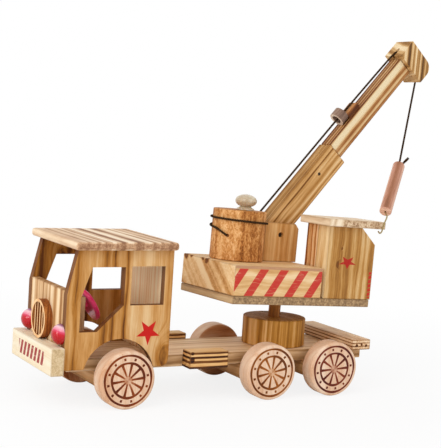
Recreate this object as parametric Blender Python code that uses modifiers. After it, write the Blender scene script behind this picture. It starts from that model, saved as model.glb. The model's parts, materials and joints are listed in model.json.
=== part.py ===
# Wooden toy crane truck: a six-wheeled lorry that carries a slewing deck with a cab, a winch and a boom.
# Metres, +Z up. The truck faces -X, its left side is -Y, and it stands on z = 0.
# The truck is laid out from the front axle, the crane from its slew axis, the boom from its pivot.

import math

import bmesh
import bpy
from mathutils import Matrix, Vector

GAP = 0.0003  # between pieces that are glued, nailed or pinned together
BOARD = 0.0062  # thickness of the sawn boards
ARRIS = 0.0005  # broken edges

# Wheels and axles
WHEEL_RADIUS = 0.0225
WHEEL_WIDTH = 0.0150
WHEEL_ROUND = 0.0018
TRACK_OUTSIDE = 0.1054  # over the wheels' outer faces
AXLE_RADIUS = 0.0020
AXLE_IN_WHEEL = 0.0090
MID_AXLE_X = 0.1259
REAR_AXLE_X = 0.1860
BLOCK_HALF_LENGTH = 0.0175  # axle blocks
BLOCK_BOTTOM = 0.0140
BLOCK_TO_WHEEL = 0.0012

# Chassis
BEAM_WIDTH = 0.0600
BEAM_BOTTOM = 0.0260
BEAM_TOP = 0.0354
BEAM_REAR_X = 0.2272
CROSSBAR_LENGTH = 0.0185
CROSSBAR_WIDTH = 0.0874
CROSSBAR_HEIGHT = 0.0085
TANK_FRONT_X = 0.0560
TANK_LENGTH = 0.0342
TANK_DEPTH = 0.0132
TANK_HEIGHT = 0.0135
TANK_BOTTOM = 0.0264
TURNTABLE_X = 0.1573
TURNTABLE_RADIUS = 0.0264
TURNTABLE_TOP = 0.0582

# Truck cab
CAB_FRONT_X = -0.0477
CAB_REAR_X = 0.0383
CAB_WIDTH = 0.0810
CAB_BOTTOM = 0.0294
CAB_TOP = 0.1195
CAB_TOP_FRONT_X = -0.0400
CAB_BREAK_Z = 0.0860  # where the windscreen's slope starts
CAB_CORNER = 0.0060
FRONT_LIP = 0.0027  # front board above the break
ARCH_X = -0.0030
ARCH_RADIUS = 0.0295
DOOR_SILL_Z = 0.0578
DOOR_TOP_Z = 0.1065
DOOR_FRONT_X = -0.0366
DOOR_BEND_Z = 0.0835
DOOR_TOP_FRONT_X = -0.0283
DOOR_REAR_X = -0.0016
DOOR_NOTCH_Z = 0.0775
DOOR_SILL_REAR_X = -0.0226
WINDOW_FRONT_X = 0.0036
WINDOW_REAR_X = 0.0315
WINDOW_SILL_Z = 0.0773
WINDOW_TOP_Z = 0.1070
ROOF_FRONT_X = -0.0451
ROOF_REAR_X = 0.0390
ROOF_OVERHANG = 0.0077  # past each cab side
ROOF_ROUND = 0.0022
POST_REAR_X = -0.0198
POST_WIDTH = 0.0200
POST_TOP = 0.0790
STEERING_RADIUS = 0.0135
STEERING_THICKNESS = 0.0040
STEERING_STEM = 0.0071
STEERING_STEM_RADIUS = 0.0020
STEERING_TILT = math.radians(28.6)
STEERING_Z = 0.0715

# Front of the truck
BUMPER_THICKNESS = 0.0103
BUMPER_WIDTH = 0.0858
BUMPER_BOTTOM = 0.0259
BUMPER_TOP = 0.0466
GRILLE_RADIUS = 0.0149
GRILLE_RIM = 0.0022
GRILLE_SLATS = 4
SLAT_WIDTH = 0.0015
SLAT_DEPTH = 0.0056
LAMP_RADIUS = 0.0080
LAMP_HEIGHT = 0.0072
LAMP_Y = 0.0330
LAMP_Z = 0.0555

# Crane deck, which leans a little on its loose peg
DECK_Z = 0.0732  # under the deck board, on the slew axis
SLEW = math.radians(2.5)
LEAN_BACK = math.radians(2.58)
LEAN_SIDE = math.radians(-1.16)
DECK_FRONT = -0.0694
DECK_REAR = 0.0670
DECK_WIDTH = 0.0827
BLOCK_REAR = 0.0160  # deck block
BLOCK_TOP = 0.0312
PEG_RADIUS = 0.0050
PEG_BELOW = 0.0280
PEG_ABOVE = 0.0180

# Crane cab: two blocks side by side under one board
CRANE_CAB_FRONT = 0.0188
CRANE_CAB_REAR = 0.0675
CRANE_CAB_LEFT = -0.0413
CRANE_CAB_BLOCK = 0.0153  # thickness of each block
CRANE_CAB_TOP = 0.0666
CHAMFER_LENGTH = 0.0150
CHAMFER_HEIGHT = 0.0137
CRANE_ROOF_FRONT = 0.0118
CRANE_ROOF_REAR = 0.0700
CRANE_ROOF_LEFT = -0.0500
CRANE_ROOF_RIGHT = -0.0080

# Boom bracket
BOOM_Y = 0.0160  # the boom's middle plane
CHEEK_THICKNESS = 0.0062
CHEEK_CLEARANCE = 0.0005
CHEEK_FRONT = -0.0160
CHEEK_REAR = 0.0176
CHEEK_TOP = 0.0638
CHEEK_CHAMFER_LENGTH = 0.0033
CHEEK_CHAMFER_HEIGHT = 0.0040
PIN_RADIUS = 0.0020
PIN_RECESS = 0.0020
REST_FRONT = 0.0105
REST_PEAK = 0.0170
REST_REAR = 0.0203
REST_SLOPE = 0.0029  # how far the back of the rest falls from its peak

# Boom, laid out from its pivot: x along it, z out of its upper side
PIVOT = Vector((-0.0003, BOOM_Y, 0.0540))
BOOM_ANGLE = math.radians(50.5)
LOWER_BOOM_FOOT = -0.0100
LOWER_BOOM_END = 0.0925
LOWER_BOOM_WIDTH = 0.0162
LOWER_BOOM_UNDER = -0.0080
LOWER_BOOM_OVER = 0.0140
UPPER_BOOM_END = 0.1997
UPPER_BOOM_WIDTH = 0.0140
UPPER_BOOM_UNDER = -0.0024
UPPER_BOOM_OVER = 0.0138
TENON_LENGTH = 0.0325
TENON_WIDTH = 0.0084
TENON_UNDER = 0.0005
TENON_OVER = 0.0105
NAIL_X = 0.0664
NAIL_Z = 0.0045
NAIL_RADIUS = 0.0012
NAIL_LENGTH = 0.0100
RING_X = 0.1200
RING_RADIUS = 0.0068
RING_BORE = 0.0043
RING_LENGTH = 0.0080
GUIDE_FRONT = 0.1245
GUIDE_LENGTH = 0.0150
GUIDE_WIDTH = 0.0110
GUIDE_HEIGHT = 0.0049
HEAD_LENGTH = 0.0185
HEAD_WIDTH = 0.0230
HEAD_UNDER = -0.0150
HEAD_OVER = 0.0178
HEAD_ROUND = 0.0090
SLOT_LENGTH = 0.0095
SLOT_WIDTH = 0.0030
SLOT_DEPTH = 0.0038
ROPE_BORE = 0.0016
BORE_IN = 0.0063  # from the head's rear face to the bore, in the slot and underneath
BORE_OUT = 0.0045

# Winch: an upright log on a spindle
LOG_X = -0.0409
LOG_Y = 0.0044
LOG_RADIUS = 0.0222
LOG_TOP = 0.0726
SPINDLE_RADIUS = 0.0030
SPINDLE_IN_DECK = 0.0160
SPINDLE_IN_LOG = 0.0300
KNOB_OFF_AXIS = 0.0049
KNOB_RADIUS = 0.0091
KNOB_HEIGHT = 0.0110
KNOB_FOOT_RADIUS = 0.0074
KNOB_FOOT_HEIGHT = 0.0020
NOTCH_RADIUS = 0.0024
NOTCH_DEPTH = 0.0030

# Rope, from the notch in the log to the weight
ROPE_RADIUS = 0.0009
ROPE_STARTS = math.radians(575)  # angle round the log, counted from the rear
ROPE_LEAVES = math.radians(33)
ROPE_LEAVES_Z = 0.0658
ROPE_CLIMB = 0.0086
ROPE_CLIMB_POWER = 2.2
ROPE_DIP = 0.0042
ROPE_DIP_POWER = 1.5
ROPE_DIP_ANGLE = math.radians(35)
POINTS_PER_TURN = 24
RUN_END_X = 0.1140  # where the free run reaches the boom's ring
RUN_BEND_STARTS = 0.7  # in rope diameters from the log
RUN_BEND_ENDS = 1.5
RUN_STRAIGHT_AFTER = 0.0100
RUN_STRAIGHT_BEFORE = 0.0060
RUN_SPACING = 0.0060  # between the points of a rope's route
BOOM_ROPE_SPACING = 0.0045
DROP_SPACING = 0.0080
DROP_BELOW_HEAD = 0.0008

# Hook: a wooden weight on the rope, its wire hooked over the crane cab's roof
HOOK_FROM_REAR = 0.0054
HOOK_OFF_ROOF = 0.0015
HOOK_REACH = 0.0753  # from the weight's upper end to the wire's bend
WEIGHT_LENGTH = 0.0620
WEIGHT_RADIUS = 0.00515
WEIGHT_TILT = math.radians(49.4)
WIRE_RADIUS = 0.0006
WEIGHT_BORE_DEPTH = 0.0050
TAIL_LENGTH = 0.0088
TAIL_RADIUS = 0.0015  # at its frayed end
TAIL_SLANT = math.radians(40)  # from upright
TAIL_POINTS = 5
WIRE_SHOULDER = (0.0046, 0.0002, 0.0050)  # from the wire's bend on the roof
WIRE_BENDS = (
    (0.0022, 0, -0.0010),
    (0.0003, 0, -0.0080),
    (-0.0018, 0, -0.0094),
    (-0.0034, 0, -0.0078),
)
WIRE_SPACING = 0.0016

WHEEL_INSIDE_Y = TRACK_OUTSIDE / 2 - WHEEL_WIDTH
BOOM_TURN = Matrix.Rotation(-BOOM_ANGLE, 3, "Y")
LOG_BOTTOM = BLOCK_TOP + GAP
UP = Vector((0, 0, 1))


def material(name, color, roughness, metallic=0.0):
    made = bpy.data.materials.new(name)
    made.use_nodes = True
    shader = made.node_tree.nodes["Principled BSDF"]
    shader.inputs["Base Color"].default_value = (*color, 1)
    shader.inputs["Roughness"].default_value = roughness
    shader.inputs["Metallic"].default_value = metallic
    made.diffuse_color = (*color, 1)
    return made


def add(name, data, paint, parent, location=(0, 0, 0)):
    made = bpy.data.objects.new(name, data)
    made.parent = parent
    made.location = location
    if paint:
        data.materials.append(paint)
    PARTS.objects.link(made)
    return made


def empty(name, parent=None, location=(0, 0, 0), turn=None):
    made = bpy.data.objects.new(name, None)
    made.empty_display_size = 0.02
    made.parent = parent
    made.location = location
    if turn:
        made.rotation_euler = turn.to_euler()
    PARTS.objects.link(made)
    return made


def finish_mesh(name, shape):
    mesh = bpy.data.meshes.new(name)
    bmesh.ops.recalc_face_normals(shape, faces=shape.faces)
    shape.to_mesh(mesh)
    shape.free()
    return mesh


def bevel(made, width, segments=1):
    rounding = made.modifiers.new("broken_edges", "BEVEL")
    rounding.width = width
    rounding.segments = segments
    rounding.limit_method = "ANGLE"
    rounding.angle_limit = math.radians(50)
    return made


def box_mesh(name, low, high):
    shape = bmesh.new()
    bmesh.ops.create_cube(shape, size=1)
    size = Vector(high) - Vector(low)
    bmesh.ops.scale(shape, vec=size, verts=shape.verts)
    bmesh.ops.translate(shape, vec=(Vector(low) + Vector(high)) / 2, verts=shape.verts)
    return finish_mesh(name, shape)


def board(name, low, high, paint, parent, edge=ARRIS, segments=1):
    return bevel(add(name, box_mesh(name, low, high), paint, parent), edge, segments)


def rod_mesh(name, radius, start, end, sides=24):
    shape = bmesh.new()
    way = Vector(end) - Vector(start)
    bmesh.ops.create_cone(
        shape, cap_ends=True, segments=sides, radius1=radius, radius2=radius, depth=way.length
    )
    turn = UP.rotation_difference(way).to_matrix()
    bmesh.ops.rotate(shape, matrix=turn, verts=shape.verts)
    bmesh.ops.translate(shape, vec=(Vector(start) + Vector(end)) / 2, verts=shape.verts)
    return finish_mesh(name, shape)


def smooth(made, degrees=40):
    made.data.shade_smooth()
    made.data.set_sharp_from_angle(angle=math.radians(degrees))
    return made


def rod(name, radius, start, end, paint, parent, location=(0, 0, 0), sides=24):
    return smooth(add(name, rod_mesh(name, radius, start, end, sides), paint, parent, location))


def cutter(name, mesh, parent):
    made = bpy.data.objects.new(name, mesh)
    made.parent = parent
    made.hide_render = True
    made.display_type = "WIRE"
    CUTTERS.objects.link(made)
    return made


def boolean(made, other, operation="DIFFERENCE"):
    change = made.modifiers.new(other.name, "BOOLEAN")
    change.operation = operation
    change.solver = "EXACT"
    change.object = other
    return made


def outline(name, loops, thickness, paint, parent, middle_y=0.0):
    """A board cut to an outline in the XZ plane, with its holes as further loops."""
    curve = bpy.data.curves.new(name, "CURVE")
    curve.dimensions = "2D"
    curve.fill_mode = "BOTH"
    curve.extrude = thickness / 2
    for loop in loops:
        spline = curve.splines.new("POLY")
        spline.points.add(len(loop) - 1)
        for point, (x, z) in zip(spline.points, loop):
            point.co = (x, z, 0, 1)
        spline.use_cyclic_u = True
    made = add(name, curve, paint, parent, (0, middle_y, 0))
    made.rotation_euler = (math.radians(90), 0, 0)
    return made


def arc(centre, radius, start, end, steps):
    """Points on an arc from one angle in degrees to another."""
    points = []
    for i in range(steps + 1):
        angle = math.radians(start + (end - start) * i / steps)
        points.append((centre[0] + radius * math.cos(angle), centre[1] + radius * math.sin(angle)))
    return points


def as_mesh(made):
    """The same piece as a mesh with its caps joined on, so that it can be cut."""
    bpy.context.view_layer.update()
    graph = bpy.context.evaluated_depsgraph_get()
    mesh = bpy.data.meshes.new_from_object(made.evaluated_get(graph))
    shape = bmesh.new()
    shape.from_mesh(mesh)
    bmesh.ops.remove_doubles(shape, verts=shape.verts, dist=1e-6)
    bmesh.ops.dissolve_limit(
        shape, angle_limit=math.radians(1), verts=shape.verts, edges=shape.edges
    )
    shape.to_mesh(mesh)
    shape.free()
    name, parent, place = made.name, made.parent, made.matrix_world.copy()
    bpy.data.objects.remove(made)
    solid = bpy.data.objects.new(name, mesh)
    PARTS.objects.link(solid)
    solid.parent = parent
    solid.matrix_world = place
    return solid


def tube(name, points, radius, paint, parent, resolution=2, radii=None):
    """A rope or a wire along a list of points."""
    curve = bpy.data.curves.new(name, "CURVE")
    curve.dimensions = "3D"
    curve.bevel_depth = radius
    curve.bevel_resolution = resolution
    curve.use_fill_caps = True
    spline = curve.splines.new("POLY")
    spline.points.add(len(points) - 1)
    for i, point in enumerate(points):
        spline.points[i].co = (*point, 1)
        spline.points[i].radius = radii[i] if radii else 1
    return add(name, curve, paint, parent)


def smooth_route(knots, spacing):
    """Points along a smooth curve through the knots, about one spacing apart."""
    ends = [2 * knots[0] - knots[1]] + knots + [2 * knots[-1] - knots[-2]]
    points = []
    for before, start, end, after in zip(ends, ends[1:], ends[2:], ends[3:]):
        steps = max(1, round((end - start).length / spacing))
        for i in range(steps):
            t = i / steps
            points.append(
                0.5
                * (
                    2 * start
                    + (end - before) * t
                    + (2 * before - 5 * start + 4 * end - after) * t**2
                    + (3 * start - before - 3 * end + after) * t**3
                )
            )
    return points + [knots[-1]]


def turned(name, profile, paint, parent, location, steps=32):
    """A round piece about Z, from a profile of (radius, height) that runs down its outer side."""
    mesh = bpy.data.meshes.new(name)
    mesh.from_pydata([(r, 0, z) for r, z in profile], [(i, i + 1) for i in range(len(profile) - 1)], [])
    made = add(name, mesh, paint, parent, location)
    screw = made.modifiers.new("turned", "SCREW")
    screw.steps = steps
    screw.render_steps = steps
    screw.use_merge_vertices = True
    screw.merge_threshold = 0.00001
    screw.use_smooth_shade = True
    return made


def make_chassis():
    half = BEAM_WIDTH / 2
    front = CAB_FRONT_X + BOARD + GAP
    board("chassis_beam", (front, -half, BEAM_BOTTOM), (BEAM_REAR_X, half, BEAM_TOP), PINE, ROOT)
    reach = WHEEL_INSIDE_Y - BLOCK_TO_WHEEL
    for place, x in AXLES.items():
        block = board(
            f"{place}_axle_block",
            (x - BLOCK_HALF_LENGTH, -reach, BLOCK_BOTTOM),
            (x + BLOCK_HALF_LENGTH, reach, BEAM_BOTTOM - GAP),
            PINE,
            ROOT,
        )
        bore = rod_mesh(
            "bore",
            AXLE_RADIUS + GAP,
            (x, -reach - BOARD, WHEEL_RADIUS),
            (x, reach + BOARD, WHEEL_RADIUS),
        )
        boolean(block, cutter(f"{place}_axle_bore", bore, ROOT))
    bar_half = CROSSBAR_WIDTH / 2
    bar_bottom = BEAM_TOP + GAP
    board(
        "rear_crossbar",
        (BEAM_REAR_X - CROSSBAR_LENGTH, -bar_half, bar_bottom),
        (BEAM_REAR_X, bar_half, bar_bottom + CROSSBAR_HEIGHT),
        PLYWOOD,
        ROOT,
    )
    for side, sign in SIDES.items():
        inner = sign * (half + GAP)
        outer = inner + sign * TANK_DEPTH
        board(
            f"tank_{side}",
            (TANK_FRONT_X, min(inner, outer), TANK_BOTTOM),
            (TANK_FRONT_X + TANK_LENGTH, max(inner, outer), TANK_BOTTOM + TANK_HEIGHT),
            PLYWOOD,
            ROOT,
        )


def make_wheels():
    bore_radius = AXLE_RADIUS + GAP
    bore_depth = AXLE_IN_WHEEL + GAP
    for place, x in AXLES.items():
        reach = WHEEL_INSIDE_Y + AXLE_IN_WHEEL
        rod(
            f"{place}_axle", AXLE_RADIUS, (0, -reach, 0), (0, reach, 0), STEEL, ROOT, (x, 0, WHEEL_RADIUS)
        )
        for side, sign in SIDES.items():
            half = WHEEL_WIDTH / 2
            rim = arc((WHEEL_RADIUS - WHEEL_ROUND, half - WHEEL_ROUND), WHEEL_ROUND, 90, 0, 3)
            back = [(r, -z) for r, z in reversed(rim)]
            bore = [(bore_radius, -half), (bore_radius, bore_depth - half), (0, bore_depth - half)]
            wheel = turned(
                f"wheel_{place}_{side}",
                [(0, half)] + rim + back + bore,
                WHEEL_WOOD,
                ROOT,
                (x, sign * (WHEEL_INSIDE_Y + half), WHEEL_RADIUS),
                40,
            )
            wheel.rotation_euler = (-sign * math.radians(90), 0, 0)


def cab_side_loops():
    corner = arc(
        (CAB_REAR_X - CAB_CORNER, CAB_BOTTOM + CAB_CORNER), CAB_CORNER, -90, 0, 4
    )
    rise = math.degrees(math.asin((CAB_BOTTOM - WHEEL_RADIUS) / ARCH_RADIUS))
    arch = arc((ARCH_X, WHEEL_RADIUS), ARCH_RADIUS, 180 - rise, rise, 18)
    body = [(CAB_FRONT_X, CAB_BOTTOM)] + arch + corner
    body += [(CAB_REAR_X, CAB_TOP), (CAB_TOP_FRONT_X, CAB_TOP), (CAB_FRONT_X, CAB_BREAK_Z)]
    door = [
        (DOOR_FRONT_X, DOOR_SILL_Z),
        (DOOR_SILL_REAR_X, DOOR_SILL_Z),
        (DOOR_REAR_X, DOOR_NOTCH_Z),
        (DOOR_REAR_X, DOOR_TOP_Z),
        (DOOR_TOP_FRONT_X, DOOR_TOP_Z),
        (DOOR_FRONT_X, DOOR_BEND_Z),
    ]
    window = [
        (WINDOW_FRONT_X, WINDOW_SILL_Z),
        (WINDOW_REAR_X, WINDOW_SILL_Z),
        (WINDOW_REAR_X, WINDOW_TOP_Z),
        (WINDOW_FRONT_X, WINDOW_TOP_Z),
    ]
    return [body, door, window]


def make_cab():
    for side, sign in SIDES.items():
        middle = sign * (CAB_WIDTH - BOARD) / 2
        outline(f"cab_side_{side}", cab_side_loops(), BOARD, PINE, ROOT, middle)
    inside = CAB_WIDTH / 2 - BOARD - GAP
    board(
        "cab_front",
        (CAB_FRONT_X, -inside, CAB_BOTTOM),
        (CAB_FRONT_X + BOARD, inside, CAB_BREAK_Z + FRONT_LIP),
        PINE,
        ROOT,
    )
    board(
        "cab_back",
        (CAB_REAR_X - BOARD, -inside, BEAM_TOP + GAP),
        (CAB_REAR_X, inside, CAB_TOP),
        PINE,
        ROOT,
    )
    roof = CAB_WIDTH / 2 + ROOF_OVERHANG
    low = CAB_TOP + GAP
    board(
        "cab_roof", (ROOF_FRONT_X, -roof, low), (ROOF_REAR_X, roof, low + BOARD), PINE, ROOT, ROOF_ROUND, 3
    )
    post = POST_WIDTH / 2
    board(
        "steering_post",
        (POST_REAR_X - BOARD, -post, BEAM_TOP + GAP),
        (POST_REAR_X, post, POST_TOP),
        PINE,
        ROOT,
    )
    half = STEERING_THICKNESS / 2
    rim = arc((STEERING_RADIUS - half, 0), half, 90, -90, 8)
    stem_start = POST_REAR_X + GAP
    centre = (stem_start + STEERING_STEM, 0, STEERING_Z)
    wheel = turned("steering_wheel", [(0, half)] + rim + [(0, -half)], LACQUER, ROOT, centre, 28)
    wheel.rotation_euler = (0, math.radians(90) - STEERING_TILT, 0)
    stem = rod_mesh(
        "stem", STEERING_STEM_RADIUS, (stem_start, 0, STEERING_Z), centre, 16
    )
    boolean(wheel, cutter("steering_stem", stem, ROOT), "UNION")


def make_front():
    back = CAB_FRONT_X - GAP
    half = BUMPER_WIDTH / 2
    board("bumper", (back - BUMPER_THICKNESS, -half, BUMPER_BOTTOM), (back, half, BUMPER_TOP), PINE, ROOT)
    centre_z = BUMPER_TOP + GAP + GRILLE_RADIUS
    hole = GRILLE_RADIUS - GRILLE_RIM
    ring = [(GRILLE_RADIUS, 0), (hole, 0), (hole, -BOARD), (GRILLE_RADIUS, -BOARD), (GRILLE_RADIUS, 0)]
    ring = list(reversed(ring))
    grille = turned("grille", ring, PINE, ROOT, (back, 0, centre_z), 40)
    grille.rotation_euler = (0, math.radians(90), 0)
    pitch = 2 * hole / (GRILLE_SLATS + 1)
    for i in range(GRILLE_SLATS):
        y = pitch * (i + 1) - hole
        reach = math.sqrt(hole**2 - y**2) + GRILLE_RIM / 2
        slat = box_mesh(
            "slat",
            (back - SLAT_DEPTH, y - SLAT_WIDTH / 2, centre_z - reach),
            (back - SLAT_WIDTH / 2, y + SLAT_WIDTH / 2, centre_z + reach),
        )
        boolean(grille, cutter(f"grille_slat_{i + 1}", slat, ROOT), "UNION")
    dome = [
        (LAMP_RADIUS * math.sin(math.radians(a)), LAMP_HEIGHT * math.cos(math.radians(a)))
        for a in range(0, 91, 10)
    ]
    for side, sign in SIDES.items():
        lamp = turned(
            f"headlight_{side}", dome + [(0, 0)], LACQUER, ROOT, (back, sign * LAMP_Y, LAMP_Z), 28
        )
        lamp.rotation_euler = (0, -math.radians(90), 0)


def make_turntable():
    drum = rod(
        "turntable",
        TURNTABLE_RADIUS,
        (0, 0, BEAM_TOP + GAP),
        (0, 0, TURNTABLE_TOP),
        PINE,
        ROOT,
        (TURNTABLE_X, 0, 0),
        48,
    )
    bevel(drum, ARRIS)
    bore = rod_mesh("bore", PEG_RADIUS + GAP, (0, 0, -PEG_BELOW - GAP), (0, 0, PEG_ABOVE + GAP), 32)
    boolean(drum, cutter("peg_bore", bore, TURRET))


def make_deck():
    half = DECK_WIDTH / 2
    bore = bpy.data.objects["peg_bore"]
    lower = board("deck_board", (DECK_FRONT, -half, 0), (DECK_REAR, half, BOARD), PINE, TURRET)
    boolean(lower, bore)
    upper = board(
        "deck_block", (DECK_FRONT, -half, BOARD + GAP), (BLOCK_REAR, half, BLOCK_TOP), PINE, TURRET
    )
    boolean(upper, bore)
    rod("slew_peg", PEG_RADIUS, (0, 0, -PEG_BELOW), (0, 0, PEG_ABOVE), PINE, TURRET, sides=32)
    socket = rod_mesh(
        "socket",
        SPINDLE_RADIUS + GAP,
        (LOG_X, LOG_Y, BLOCK_TOP - SPINDLE_IN_DECK - GAP),
        (LOG_X, LOG_Y, LOG_BOTTOM + SPINDLE_IN_LOG + GAP),
    )
    boolean(upper, cutter("spindle_bore", socket, TURRET))
    rod(
        "winch_spindle",
        SPINDLE_RADIUS,
        (LOG_X, LOG_Y, BLOCK_TOP - SPINDLE_IN_DECK),
        (LOG_X, LOG_Y, LOG_BOTTOM + SPINDLE_IN_LOG),
        PINE,
        TURRET,
    )


def make_crane_cab():
    low = BOARD + GAP
    side = [
        (CRANE_CAB_FRONT, low),
        (CRANE_CAB_REAR, low),
        (CRANE_CAB_REAR, CRANE_CAB_TOP - CHAMFER_HEIGHT),
        (CRANE_CAB_REAR - CHAMFER_LENGTH, CRANE_CAB_TOP),
        (CRANE_CAB_FRONT, CRANE_CAB_TOP),
    ]
    middle = CRANE_CAB_LEFT + CRANE_CAB_BLOCK / 2
    for name in ("crane_cab_left", "crane_cab_right"):
        outline(name, [side], CRANE_CAB_BLOCK, PINE, TURRET, middle)
        middle += CRANE_CAB_BLOCK + GAP
    roof = CRANE_CAB_TOP + GAP
    board(
        "crane_cab_roof",
        (CRANE_ROOF_FRONT, CRANE_ROOF_LEFT, roof),
        (CRANE_ROOF_REAR, CRANE_ROOF_RIGHT, roof + BOARD),
        PINE,
        TURRET,
    )


def make_bracket():
    low = BLOCK_TOP + GAP
    cheek = [
        (CHEEK_FRONT, low),
        (CHEEK_REAR, low),
        (CHEEK_REAR, CHEEK_TOP - CHEEK_CHAMFER_HEIGHT),
        (CHEEK_REAR - CHEEK_CHAMFER_LENGTH, CHEEK_TOP),
        (CHEEK_FRONT, CHEEK_TOP),
    ]
    hole = arc((PIVOT.x, PIVOT.z), PIN_RADIUS + GAP, 0, 330, 11)
    away = LOWER_BOOM_WIDTH / 2 + CHEEK_CLEARANCE
    for side, sign in SIDES.items():
        middle = BOOM_Y + sign * (away + CHEEK_THICKNESS / 2)
        outline(f"bracket_{side}", [cheek, hole], CHEEK_THICKNESS, PINE, TURRET, middle)

    # The rest's ramp runs along the boom's underside, one gap below it.
    def ramp(x):
        under = PIVOT + BOOM_TURN @ Vector((0, 0, LOWER_BOOM_UNDER - GAP))
        return under.z + (x - under.x) * math.tan(BOOM_ANGLE)

    rest = [
        (REST_FRONT, low),
        (REST_REAR, low),
        (REST_REAR, ramp(REST_PEAK) - REST_SLOPE),
        (REST_PEAK, ramp(REST_PEAK)),
        (REST_FRONT, ramp(REST_FRONT)),
    ]
    outline("boom_rest", [rest], 2 * (away - GAP), PINE, TURRET, BOOM_Y)
    reach = away + CHEEK_THICKNESS - PIN_RECESS
    rod("boom_pin", PIN_RADIUS, (0, -reach, 0), (0, reach, 0), STEEL, TURRET, PIVOT, 12)


def make_boom():
    half = LOWER_BOOM_WIDTH / 2
    lower = board(
        "boom_lower",
        (LOWER_BOOM_FOOT, -half, LOWER_BOOM_UNDER),
        (LOWER_BOOM_END, half, LOWER_BOOM_OVER),
        PINE,
        BOOM,
    )
    pin_bore = rod_mesh("pin_bore", PIN_RADIUS + GAP, (0, -2 * half, 0), (0, 2 * half, 0), 12)
    boolean(lower, cutter("boom_pin_bore", pin_bore, BOOM))
    tenon_foot = LOWER_BOOM_END - TENON_LENGTH
    tenon_half = TENON_WIDTH / 2
    mortise = box_mesh(
        "mortise",
        (tenon_foot - GAP, -tenon_half - GAP, TENON_UNDER - GAP),
        (LOWER_BOOM_END + BOARD, tenon_half + GAP, TENON_OVER + GAP),
    )
    boolean(lower, cutter("boom_mortise", mortise, BOOM))
    upper_half = UPPER_BOOM_WIDTH / 2
    upper = board(
        "boom_upper",
        (LOWER_BOOM_END + GAP, -upper_half, UPPER_BOOM_UNDER),
        (UPPER_BOOM_END, upper_half, UPPER_BOOM_OVER),
        PINE,
        BOOM,
    )
    tenon = box_mesh(
        "tenon",
        (tenon_foot, -tenon_half, TENON_UNDER),
        (LOWER_BOOM_END + BOARD, tenon_half, TENON_OVER),
    )
    boolean(upper, cutter("boom_tenon", tenon, BOOM), "UNION")
    nail_start = (NAIL_X, -half, NAIL_Z)
    nail_end = (NAIL_X, NAIL_LENGTH - half, NAIL_Z)
    rod("boom_nail", NAIL_RADIUS, nail_start, nail_end, STEEL, BOOM, sides=12)
    nail_bore = rod_mesh(
        "nail_bore",
        NAIL_RADIUS + GAP,
        (NAIL_X, -half - GAP, NAIL_Z),
        (NAIL_X, NAIL_LENGTH - half + GAP, NAIL_Z),
        12,
    )
    nail_cutter = cutter("boom_nail_bore", nail_bore, BOOM)
    boolean(lower, nail_cutter)
    boolean(upper, nail_cutter)
    ring_z = UPPER_BOOM_OVER + GAP + RING_RADIUS
    ring = [
        (RING_BORE, RING_LENGTH / 2),
        (RING_RADIUS, RING_LENGTH / 2),
        (RING_RADIUS, -RING_LENGTH / 2),
        (RING_BORE, -RING_LENGTH / 2),
        (RING_BORE, RING_LENGTH / 2),
    ]
    made = turned("guide_ring", ring, PINE, BOOM, (RING_X, 0, ring_z), 24)
    made.rotation_euler = (0, math.radians(90), 0)
    guide_low = UPPER_BOOM_OVER + GAP
    board(
        "guide_block",
        (GUIDE_FRONT, -GUIDE_WIDTH / 2, guide_low),
        (GUIDE_FRONT + GUIDE_LENGTH, GUIDE_WIDTH / 2, guide_low + GUIDE_HEIGHT),
        PINE,
        BOOM,
    )


def bore_line():
    """Where the head's rope bore starts in the slot and where it leaves underneath."""
    face = UPPER_BOOM_END + GAP
    return (
        Vector((face + BORE_IN, 0, HEAD_OVER - SLOT_DEPTH + ROPE_BORE)),
        Vector((face + BORE_OUT, 0, HEAD_UNDER)),
    )


def make_head():
    face = UPPER_BOOM_END + GAP
    tip = face + HEAD_LENGTH
    nose = arc((tip - HEAD_ROUND, HEAD_UNDER + HEAD_ROUND), HEAD_ROUND, -90, 0, 6)
    shape = [(face, HEAD_UNDER)] + nose + [(tip, HEAD_OVER), (face, HEAD_OVER)]
    head = as_mesh(outline("boom_head", [shape], HEAD_WIDTH, PINE, BOOM))
    slot = box_mesh(
        "slot",
        (face - BOARD, -SLOT_WIDTH / 2, HEAD_OVER - SLOT_DEPTH),
        (face + SLOT_LENGTH, SLOT_WIDTH / 2, HEAD_OVER + BOARD),
    )
    boolean(head, cutter("head_slot", slot, BOOM))
    top, bottom = bore_line()
    bore = rod_mesh("bore", ROPE_BORE, top, bottom + (bottom - top).normalized() * BOARD, 12)
    boolean(head, cutter("head_bore", bore, BOOM))


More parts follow.
